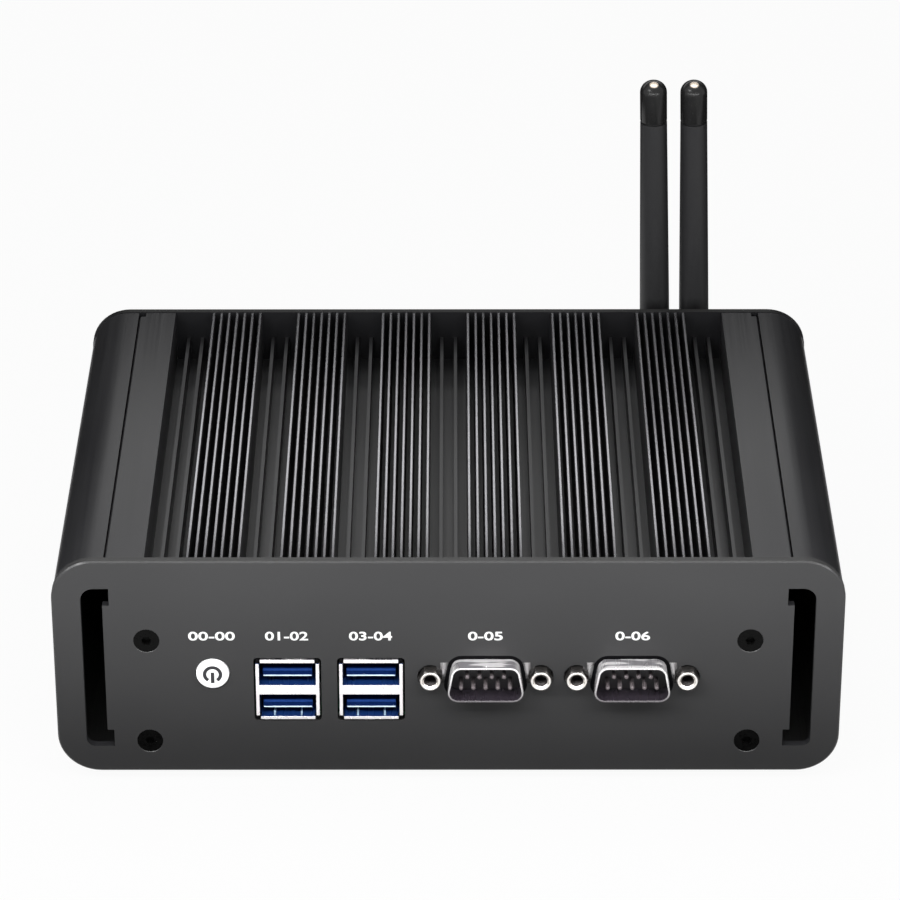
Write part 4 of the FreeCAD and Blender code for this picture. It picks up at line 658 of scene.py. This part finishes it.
# -------------------------------------------------------------- front pieces
def print_text(name, words, width, x, z):
    """Words of a given width and 2.15 mm high, printed on the front panel round x and z."""
    height, ink, bolder = 2.15, 0.03, 0.055
    capital = 0.70               # height of a digit as a share of the font's size
    curve = bpy.data.curves.new(name, "FONT")
    curve.body = words
    curve.size = height / capital
    curve.offset = bolder
    curve.extrude = ink / 2
    curve.align_x, curve.align_y = "CENTER", "CENTER"
    text = bpy.data.objects.new(name + "_curve", curve)
    mesh = bpy.data.meshes.new_from_object(text)
    bpy.data.objects.remove(text)
    stretch = width / np.ptp(field(mesh.vertices, "co", 3)[:, 0])
    upright = Matrix((
        (stretch, 0, 0, x / MM),
        (0, 0, -1, FACE_Y / MM - ink / 2),
        (0, 1, 0, z / MM),
        (0, 0, 0, 1),
    ))
    mesh.transform(Matrix.Scale(MM, 4) @ upright)
    mesh.name = name
    join_piece(name, finish_mesh(mesh, 30), "case", "button_white", WHITE_INK)


def make_labels():
    """A plain numbered label above each front connector."""
    line_z = 38.15 * MM
    labels = (
        ("power_button", "00-00", 10.5),
        ("usb_shell_left", "01-02", 9.7),
        ("usb_shell_right", "03-04", 9.7),
        ("com_shell_left", "0-05", 7.8),
        ("com_shell_right", "0-06", 7.8),
    )
    for node, words, width in labels:
        print_text("label_" + node, words, width, mid_line(node)[0], line_z)


def make_button():
    """Round cap with a soft rim, its flange and stem, and the power sign printed on it."""
    low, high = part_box("power_button")
    x, z = mid_line("power_button")
    length = (high.y - low.y) / MM
    rim, cap, flange, stem = 0.45, 3.75, 4.8, 1.7
    flange_start, flange_end = 2.6, 3.4
    profile = np.vstack([
        [(0.0, 0.0), (cap - rim, 0.0)],
        arc((cap - rim, rim), rim, -90, 0, 6),
        [(cap, flange_start), (flange, flange_start), (flange, flange_end), (stem, flange_end)],
        [(stem, length), (0.0, length)],
    ])
    cap = turned(profile, (x, low.y, z), sides=96)
    stand_for(build("button_cap", "power_button", "button_white", cap), "power_button")
    make_power_sign(x, low.y, z)


def stroke(path, width, low_y, high_y):
    """Flat ribbon of a width along a path of (x, z) points, with square ends, between two
    depths."""
    ahead = np.gradient(path, axis=0)
    ahead /= np.linalg.norm(ahead, axis=1, keepdims=True)
    side = np.stack([-ahead[:, 1], ahead[:, 0]], -1) * width / 2
    left, right = path - side, path + side
    corners = ((left, low_y), (right, low_y), (right, high_y), (left, high_y))
    rings = [np.stack([p[:, 0], np.full(len(p), y), p[:, 1]], -1) for p, y in corners]
    return np.stack(rings, 1)


def make_power_sign(x, front_y, z):
    """Power sign turned over: an arc open at its foot and a bar that points down."""
    radius, line, gap = 1.80 * MM, 0.80 * MM, 34.0
    bar_top, bar_foot, proud = 0.5 * MM, -2.25 * MM, 0.02 * MM
    turn = np.radians(np.linspace(-90 + gap, 270 - gap, 49))
    ring = np.stack([x + radius * np.cos(turn), z + radius * np.sin(turn)], -1)
    bar = np.stack([np.full(5, x), np.linspace(z + bar_top, z + bar_foot, 5)], -1)
    strokes = (stroke(path, line, front_y - proud, front_y + proud) for path in (ring, bar))
    build("power_sign", "power_button", "screw_black", *strokes, material=DARK_INK)


def make_usb(side):
    """A USB pair: steel frame with eased edges and painted shade inside its ports, its insulator,
    black corner pieces of painted shade, and the small parts in its ports."""
    node = "usb_shell_" + side
    low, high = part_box(node)
    ends = np.array([[low.x, low.z], [high.x, high.z]])

    def port_walls(middles, normals):
        """Walls that face neither out of the shell nor along Y."""
        reach = np.abs(middles[:, None, ::2] - ends).min((1, 2))
        return (np.abs(normals[:, 1]) < 0.5) & (reach > 0.1 * MM)

    shade_inside_copy(node, 0.12, port_walls, NAVY_SHADED_SHEET)
    smooth_copy("usb_insulator_" + side)
    # painted shade: black pieces fill the four corner notches of the frame
    notch, back, deep = 1.12 * MM, 0.30 * MM, 1.55 * MM
    corner_shade_blocks = []
    for x in (low.x, high.x - notch):
        for z in (low.z, high.z - notch):
            near, far = (x, low.y + back, z), (x + notch, low.y + deep, z + notch)
            corner_shade_blocks.append(soft_block(near, far, 0.25))
    build("usb_corner_shade_" + side, "case", "socket_black", *corner_shade_blocks, material=SHADOW_BLACK)
    fill_usb_ports(side, low, high)


def fill_usb_ports(side, low, high):
    """Four contacts under each tongue, a pale lip under its end that paints a highlight on the
    tongue's lower front edge, and two spring arms in the lower port.  Places along Y are from the
    mouth."""
    middle, mouth = (low.x + high.x) / 2, low.y
    lip, bar = 0.8 * MM, 2.5 * MM            # frame round the ports, and between them
    drop, thick = 2.1 * MM, 1.85 * MM        # tongue, from the port's roof and itself
    contact_wide, contact_near, contact_far = 0.76, 2.2 * MM, 10.8 * MM
    contact_below, contact_thick = 0.06 * MM, 0.08 * MM
    highlight_half, highlight_near, highlight_far, highlight_high = 5.5 * MM, 0.97 * MM, 1.6 * MM, 0.42 * MM
    port = (high.z - low.z - bar - 2 * lip) / 2
    strips, painted_highlight_lips = [], []
    for floor_z in (low.z + lip, high.z - lip - port):
        foot = floor_z + port - drop - thick
        for x in (-3.5, -1.0, 1.0, 3.5):
            left, under = middle + (x - contact_wide / 2) * MM, foot - contact_below
            right, over = left + contact_wide * MM, under + contact_thick
            strips.append(soft_block((left, mouth + contact_near, under),
                                     (right, mouth + contact_far, over), 0.03, 1))
        # painted highlight: a pale strip under the tongue's front end draws its lit lower edge
        painted_highlight_lips.append(soft_block((middle - highlight_half, mouth + highlight_near, foot),
                               (middle + highlight_half, mouth + highlight_far, foot + highlight_high), 0.12, 2))
    springs = [spring_arm(middle + x * MM, mouth, low.z + lip) for x in (-3.05, 3.05)]
    build("usb_contacts_" + side, "case", "contact_gold", *strips)
    build("usb_highlight_lips_" + side, "case", "usb_blue", *painted_highlight_lips, material=PAINTED_HIGHLIGHT_BLUE)
    build("usb_springs_" + side, "case", "connector_steel", *springs, material=SPRING_STEEL)


def spring_arm(x, mouth_y, floor_z):
    """Narrow strip that bows up into the port: height = 0.1 + 0.42 sin(pi t) mm over its length."""
    t = np.linspace(0, 1, 17)
    y = mouth_y + (0.25 + 9.0 * t) * MM
    z = floor_z + (0.10 + 0.42 * np.sin(np.pi * t)) * MM
    half, thick = 0.2 * MM, 0.12 * MM
    return band((x, y, z), ((-half, 0), (half, 0), (half, thick), (-half, thick)))


def make_serial_shell(side):
    """D-shaped shell with eased edges; the walls inside the D take painted shade."""
    node, half_width = "com_shell_" + side, 9.2 * MM
    x, z = mid_line(node)

    def inner_walls(middles, normals):
        """Walls that face the middle of the D, ahead of the flange."""
        out = middles[:, ::2] - (x, z)
        inward = (out * normals[:, ::2]).sum(1) < 0
        return inward & (np.abs(normals[:, 1]) < 0.5) & (np.abs(out[:, 0]) < half_width)

    shade_inside_copy(node, 0.12, inner_walls, DARK_SHADED_SHEET)


def d_outline(x, z, grown):
    """Outline of the serial shell, grown by a margin: a trapezoid with its wide side down and
    round corners.  Points of (x, z) in millimetres."""
    wide, high, tilt, corner = 18.0, 9.0, 10.0, 2.4 + grown
    slope, lean_sin, lean_cos = (f(math.radians(tilt)) for f in (math.tan, math.sin, math.cos))
    half = high / 2 + grown
    reach = wide / 2 + grown - high / 2 * slope
    top, foot = reach - half * slope, reach + half * slope
    ease, blunt = corner * (1 - lean_sin) / lean_cos, corner * (1 + lean_sin) / lean_cos
    return np.vstack([
        arc((x + top - ease, z + half - corner), corner, 90, tilt, 6),
        arc((x + foot - blunt, z - half + corner), corner, tilt, -90, 8),
        arc((x - foot + blunt, z - half + corner), corner, -90, -180 - tilt, 8),
        arc((x - top + ease, z + half - corner), corner, 180 - tilt, 90, 6),
    ])


def make_serial_shade_ring(side):
    """Thin black ring of painted shade that fills the panel's cut-out round the D-shaped shell,
    with a flat lip that lies on the panel."""
    x, z = mid_line("com_shell_" + side)
    inner, hole, lip = 0.03, 0.62, 0.88          # margins round the shell
    proud, seat, deep = -0.06, -0.005, 1.9       # from the panel's face
    section = ((inner, proud), (lip, proud), (lip, seat), (hole, seat), (hole, deep), (inner, deep))
    rings = np.stack([np.insert(d_outline(x / MM, z / MM, grown), 1, FACE_Y / MM + y, axis=1) * MM
                      for grown, y in section])
    # painted shade: a black ring fills the gap round the shell and lies on the panel
    build("com_shade_ring_" + side, "case", "socket_black", rings, material=SHADOW_BLACK, closed=True)


def jack_axes():
    """X and Z of the four jackscrews, from the flanges that carry them."""
    pitch = 24.99 * MM
    places = []
    for side in SIDES:
        middle, z = mid_line("com_shell_" + side)
        places.extend([(middle - pitch / 2, z), (middle + pitch / 2, z)])
    return places


def make_jackscrews():
    """Hexagonal jackscrews with a turned end, a countersunk mouth and a threaded bore made dark by
    painted shade; painted shade also darkens their sides.
    """
    low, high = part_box("com_jackscrews")
    flats, length, bore, depth, shank, rim = 4.75, 4.5, 1.42, 3.9, 1.36, 0.22
    stud = (high.y - low.y) / MM
    nut = np.vstack([
        [(0.0, depth), (bore, depth), (bore, 0.5), (bore + 0.42, 0.06)],
        arc((flats / 2 - 0.28, rim), rim, -90, -20, 4),
        [(flats / 2 + 0.40, 1.15), (flats / 2 + 0.6, 1.6), (flats / 2 + 0.6, length)],
        [(shank, length), (shank, stud), (0.0, stud)],
    ])
    turns, steps, pitch, ridge = 7, 8, 0.45, 0.16
    t = np.linspace(0, turns, turns * steps + 1)
    thread = np.vstack([
        [(bore + 0.02, 0.42)],
        np.stack([bore - ridge * (0.5 - 0.5 * np.cos(2 * np.pi * t)), 0.5 + t * pitch], -1),
        [(0.0, depth - 0.15), (0.0, depth - 0.05), (bore + 0.04, depth - 0.1)],
    ])
    places = [(x, low.y, z) for x, z in jack_axes()]
    slot = "jackscrew_nickel"
    nuts = (hexed(nut, flats, place) for place in places)
    stand_for(build("jackscrews", "case", slot, *nuts, material=SIDE_SHADED_NICKEL), "com_jackscrews")
    bores = (turned(thread, place, sides=36) for place in places)
    # painted shade: the threaded bores are made dark
    build("jackscrew_threads", "case", slot, *bores, material=SHADED_THREAD, closed=True)


# ---------------------------------------------- pieces at the foot and back
def make_feet():
    """Rubber feet with a round shoulder and a dished sole."""
    for node in [name for name in SLOT_OF if name.startswith("foot_")]:
        low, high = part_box(node)
        radius, height = (high.x - low.x) / 2 / MM, (high.z - low.z) / MM
        profile = np.vstack([
            [(0.0, height), (radius, height)],
            arc((radius - 1.1, 1.1), 1.1, 0, -90, 6),
            arc((radius - 2.6, 0.5), 0.5, -90, -150, 4),
            [(radius - 3.4, 0.75), (0.0, 0.75)],
        ])
        place = ((low.x + high.x) / 2, (low.y + high.y) / 2, low.z)
        pad = build(node + "_pad", "case", "foot_rubber", turned(profile, place, "Z"))
        stand_for(pad, node)


def network_contacts():
    """Eight sprung wires in each network socket, and the two light windows above it."""
    low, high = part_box("lan_shell")
    middle, mouth, roof = (low.x + high.x) / 2, high.y, low.z + 11.2 * MM
    pitch, step, half = 16.2 * MM, 1.02 * MM, 0.2 * MM
    light_x, light_half, light_high = 4.6 * MM, 1.4 * MM, 1.6 * MM
    section = ((-half, -half), (half, -half), (half, half), (-half, half))
    t = np.linspace(0, 1, 13)
    y = mouth - (2.4 + 10.5 * t) * MM
    z = roof - (0.5 + 2.6 * np.sin(np.pi * np.clip(1.15 * t, 0, 1)) * (1 - 0.3 * t)) * MM
    wires, lights = [], []
    for socket in (middle - pitch / 2, middle + pitch / 2):
        wires.extend(band((socket + (k - 3.5) * step, y, z), section) for k in range(8))
        for x in (socket - light_x, socket + light_x):
            foot = roof + 0.75 * MM
            lights.append(soft_block((x - light_half, mouth - 0.3 * MM, foot),
                                     (x + light_half, mouth + 0.08 * MM, foot + light_high), 0.15))
    build("network_wires", "case", "contact_gold", *wires)
    build("network_lights", "case", "socket_black", *lights, material=LIGHT_WINDOW)


def display_contacts():
    """Contact strips on both sides of the display socket's tongue."""
    low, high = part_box("hdmi_insulator")
    shell_low, shell_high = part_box("hdmi_shell")
    middle = (low.x + high.x) / 2
    near, far, half, thin = shell_low.y + 3.2 * MM, high.y - 0.4 * MM, 0.25 * MM, 0.05 * MM
    tongue_low, tongue_thick = (shell_low.z + shell_high.z) / 2, 1.2 * MM
    strips = []
    for z, count in ((tongue_low + tongue_thick, 10), (tongue_low, 9)):
        for k in range(count):
            x = middle + (k - (count - 1) / 2) * MM
            strip = soft_block((x - half, near, z - thin), (x + half, far, z + thin), 0.03, 1)
            strips.append(strip)
    build("display_contacts", "case", "contact_gold", *strips)


# ------------------------------------------------------------------ antennas
def leaning(points, x, z):
    """Points turned about the Y axis through (x, z) by the lean of the masts."""
    across, up = points[..., 0] - x, points[..., 2] - z
    moved = points.copy()
    moved[..., 0] = x + across * math.cos(LEAN) - up * math.sin(LEAN)
    moved[..., 2] = z + across * math.sin(LEAN) + up * math.cos(LEAN)
    return moved


def antenna_axis(side):
    """X, hinge Y and Z of an antenna, from its jack and its hinge pin."""
    x, z = mid_line("antenna_jack_" + side)
    pin_low, pin_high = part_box("antenna_pin_" + side)
    return x, (pin_low.y + pin_high.y) / 2, z


def make_cap(side):
    """Cap turned as one: a fine groove, a straight wall and a dome of
    z = h (1 - (r / R)^p)^(1 / p)."""
    x, y, z = antenna_axis(side)
    radius, groove, joint, length, dome, power = 3.35, 0.34, 70.5, 10.99, 3.1, 2.05
    share = np.sin(np.linspace(np.pi / 2, 0, 17))
    rise = length - dome + dome * (1 - share ** power) ** (1 / power)
    neck = radius - groove
    profile = np.vstack([
        [(0.0, 0.0), (neck, 0.0), (neck, 0.42), (radius - 0.06, 0.54), (radius, 0.70)],
        np.stack([radius * share, rise], -1),
    ])
    node = "antenna_cap_" + side
    points = leaning(turned(profile, (x, y, z + joint * MM), "Z", 64), x, z)
    tip = build("antenna_tip_" + side, BODY_OF[node], "antenna_cap_black", points, angle=40)
    stand_for(tip, node)


def make_coupler(side):
    """Knurled sleeve: between its plain ends the radius drops by cut |sin(teeth angle / 2)|.
    The profile is (radius, height) in millimetres."""
    node = "antenna_coupler_" + side
    low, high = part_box(node)
    x, z = mid_line(node)
    sleeve, teeth, sides, cut = 6.4, 36, 288, 0.18
    knurl_start, knurl_end, full = 0.95, 4.45, 4.0
    total = (high.y - low.y) / MM
    radius, height = np.array([
        (3.22, 5.5), (3.22, 0.3), (3.5, 0.0), (3.9, 0.0), (4.2, 0.3), (4.2, 0.9), (4.2, 1.0),
        (4.2, 1.1), (4.2, 4.3), (4.2, 4.4), (4.2, 4.5), (4.2, 5.0), (3.95, 5.1), (3.95, 5.5),
        (4.2, 5.6), (4.2, 6.1), (3.8, sleeve), (3.0, sleeve), (3.0, total), (0.0, total),
    ]).T
    knurled = (height > knurl_start) & (height < knurl_end) & (radius > full)
    angle = np.linspace(0, 2 * np.pi, sides, endpoint=False)
    rings = radius[:, None] - knurled[:, None] * cut * np.abs(np.sin(teeth * angle / 2))
    points = around(rings, height, (x, low.y, z))
    piece = build("knurled_sleeve_" + side, BODY_OF[node], "jackscrew_nickel", points, angle=25)
    stand_for(piece, node)


def make_antenna(side):
    """The cap and coupler are new, and the rest keep the shape of their nodes."""
    make_cap(side)
    make_coupler(side)
    smooth_copy("antenna_mast_" + side, 35)
    eased_copy("antenna_elbow_" + side, 0.25, 3)
    eased_copy("antenna_pin_" + side, 0.15)
    smooth_copy("antenna_jack_" + side)


# ------------------------------------------------------- stage, light, camera
FLOOR_PAPER = (0.34, 0.34, 0.34, 1.0)    # colour on which the floor's shadow falls
FLOOR_WHITE = 0.95                       # strength of the floor's own white
WORLD_LIGHT = 0.35                       # strength of the even light from all round


def seen_white(nodes, strength, dull, bright, output):
    """Shows the dull shader, and by the strength the bright one, where camera, glossy and
    transmission rays see it."""
    seen = 0.0
    for ray in ("Is Camera Ray", "Is Glossy Ray", "Is Transmission Ray"):
        seen = nodes.math("MAXIMUM", nodes.node("ShaderNodeLightPath", output=ray), seen)
    inputs = {0: nodes.times(seen, strength), 1: dull, 2: bright}
    out = nodes.tree.nodes.new(output)
    nodes.feed(out.inputs[0], nodes.node("ShaderNodeMixShader", inputs))


def flat_stage(name, corners, faces, material):
    """A flat stage object from corners in metres."""
    mesh = bpy.data.meshes.new(name)
    mesh.from_pydata(corners, [], faces)
    mesh.materials.append(material)
    plane = bpy.data.objects.new(name, mesh)
    bpy.context.scene.collection.objects.link(plane)
    return plane


def level_card(name, left, right, near, far, height, material):
    """A level rectangle of the stage."""
    corners = [(x, y, height) for x, y in ((left, near), (right, near), (right, far), (left, far))]
    return flat_stage(name, corners, [(0, 1, 2, 3)], material)


def make_floor():
    """Wide white plane at z 0 that still takes the object's shadow."""
    material = bpy.data.materials.new("pale_floor")
    nodes = Nodes(material)
    nodes.tree.nodes.clear()
    paper = nodes.node("ShaderNodeBsdfDiffuse", {"Color": FLOOR_PAPER})
    glow = nodes.node("ShaderNodeEmission")
    seen_white(nodes, FLOOR_WHITE, paper, glow, "ShaderNodeOutputMaterial")
    half = 4.0
    level_card("floor", -half, half, -half, half, 0, material)


def make_world():
    """Even studio light, and white wherever the camera, gloss or glass sees it."""
    world = bpy.data.worlds.new("studio")
    bpy.context.scene.world = world
    nodes = Nodes(world)
    nodes.tree.nodes.clear()
    white = (1.0, 1.0, 1.0, 1.0)
    soft, bright = (nodes.node("ShaderNodeBackground", {"Color": white, "Strength": strength})
                    for strength in (WORLD_LIGHT, 1.0))
    seen_white(nodes, 1.0, soft, bright, "ShaderNodeOutputWorld")


def make_flags():
    """Black studio cards that only gloss sees: a backdrop with a window, and three on the
    floor.  They keep the round corners and the foot of the front dark."""
    black = Finish("black_card", (0.003, 0.003, 0.003), 1.0, gloss=0.0).material
    y = REAR_Y + 126 * MM
    wide, tall = 0.62, 0.50
    window_x, window_low, window_high = 0.111, 0.146, 0.194
    corners = [
        (-wide, y, 0), (wide, y, 0), (wide, y, tall), (-wide, y, tall),
        (-window_x, y, window_low), (window_x, y, window_low),
        (window_x, y, window_high), (-window_x, y, window_high),
    ]
    faces = [(0, 1, 5, 4), (1, 2, 6, 5), (2, 3, 7, 6), (3, 0, 4, 7)]
    cards = [flat_stage("back_card", corners, faces, black)]
    lift, beside, side_near, front_wide = 0.4 * MM, 0.127, 0.02, 0.3
    spans = {       # left, right, near and far edges
        "front": (-front_wide, front_wide, FACE_Y - 27 * MM, FACE_Y - 3 * MM),
        "left": (-wide, -beside, side_near, y),
        "right": (beside, wide, side_near, y),
    }
    for place, span in spans.items():
        cards.append(level_card("floor_card_" + place, *span, lift, black))
    for card in cards:
        for rays in ("camera", "diffuse", "shadow", "transmission"):
            setattr(card, "visible_" + rays, False)


def make_softbox(name, place, target, size, power):
    """Rectangular lamp that looks at a target point."""
    data = bpy.data.lights.new(name, "AREA")
    data.shape = "RECTANGLE"
    data.size, data.size_y = size
    data.energy = power
    lamp = bpy.data.objects.new(name, data)
    lamp.location = place
    lamp.rotation_euler = (Vector(target) - Vector(place)).to_track_quat("-Z", "Y").to_euler()
    lamp.visible_camera = False
    bpy.context.scene.collection.objects.link(lamp)


def make_lights():
    """A key lamp behind and above, a soft lamp overhead, a strip over the front edge, a low
    one behind that the flat top mirrors, and a small one that draws the left bevel."""
    middle, front = (0.0, 0.0, 0.03), (0.0, FACE_Y, 0.035)
    for lamp in (       # name, place, target, size and power
            ("key_lamp", (0.0, 0.52, 0.99), middle, (0.6, 0.35), 4.5),
            ("top_lamp", (0.0, 0.0, 1.1), middle, (1.2, 1.0), 4.0),
            ("front_strip", (0.0, FACE_Y - 0.078, 0.135), front, (0.5, 0.04), 0.70),
            ("window_lamp", (0.0, REAR_Y + 0.122, 0.169), middle, (0.30, 0.028), 0.025),
            ("corner_lamp", (-0.48, -0.42, 0.65), (-0.08, FACE_Y, 0.055), (0.34, 0.10), 2.0)):
        make_softbox(*lamp)


def make_camera():
    """Long lens that looks down at the front from about a metre away."""
    lens, pitch, yaw, roll = 168.24, 28.052, -0.036, -0.041
    place = Vector((0.000915, -0.88897, 0.52019))
    data = bpy.data.cameras.new("camera")
    data.lens = lens
    data.sensor_width = 36.0
    data.clip_start, data.clip_end = 0.05, 20.0
    camera = bpy.data.objects.new("camera", data)
    turn = Matrix.Identity(4)
    for angle, letter in ((-yaw, "Z"), (90 - pitch, "X"), (roll, "Z")):
        turn = turn @ Matrix.Rotation(math.radians(angle), 4, letter)
    camera.matrix_world = Matrix.Translation(place) @ turn
    bpy.context.scene.collection.objects.link(camera)
    bpy.context.scene.camera = camera


dress_nodes()
finned_heatsink()
for panel in ("chassis", "front_panel", "back_panel"):
    smooth_copy(panel)
bpy.data.objects["back_panel_piece"].data.materials[0] = BACK_PLATE
# painted shade: the pins deep inside the serial sockets take a dark grey
frame["nodes"]["com_pins"].data.materials[0] = SHADED_CONTACT
smooth_copy("panel_screws", 35)
make_labels()
make_button()
for usb_side in SIDES:
    make_usb(usb_side)
    make_serial_shell(usb_side)
    make_serial_shade_ring(usb_side)
make_jackscrews()
make_feet()
network_contacts()
display_contacts()
for antenna_side in SIDES:
    make_antenna(antenna_side)
eased_copy("antenna_nuts", 0.2)
for sheet in ("lan_shell", "hdmi_shell"):
    eased_copy(sheet, 0.1)
smooth_copy("dc_inlet", 35)
make_floor()
make_world()
make_flags()
make_lights()
make_camera()
bpy.context.scene.view_settings.view_transform = "Standard"
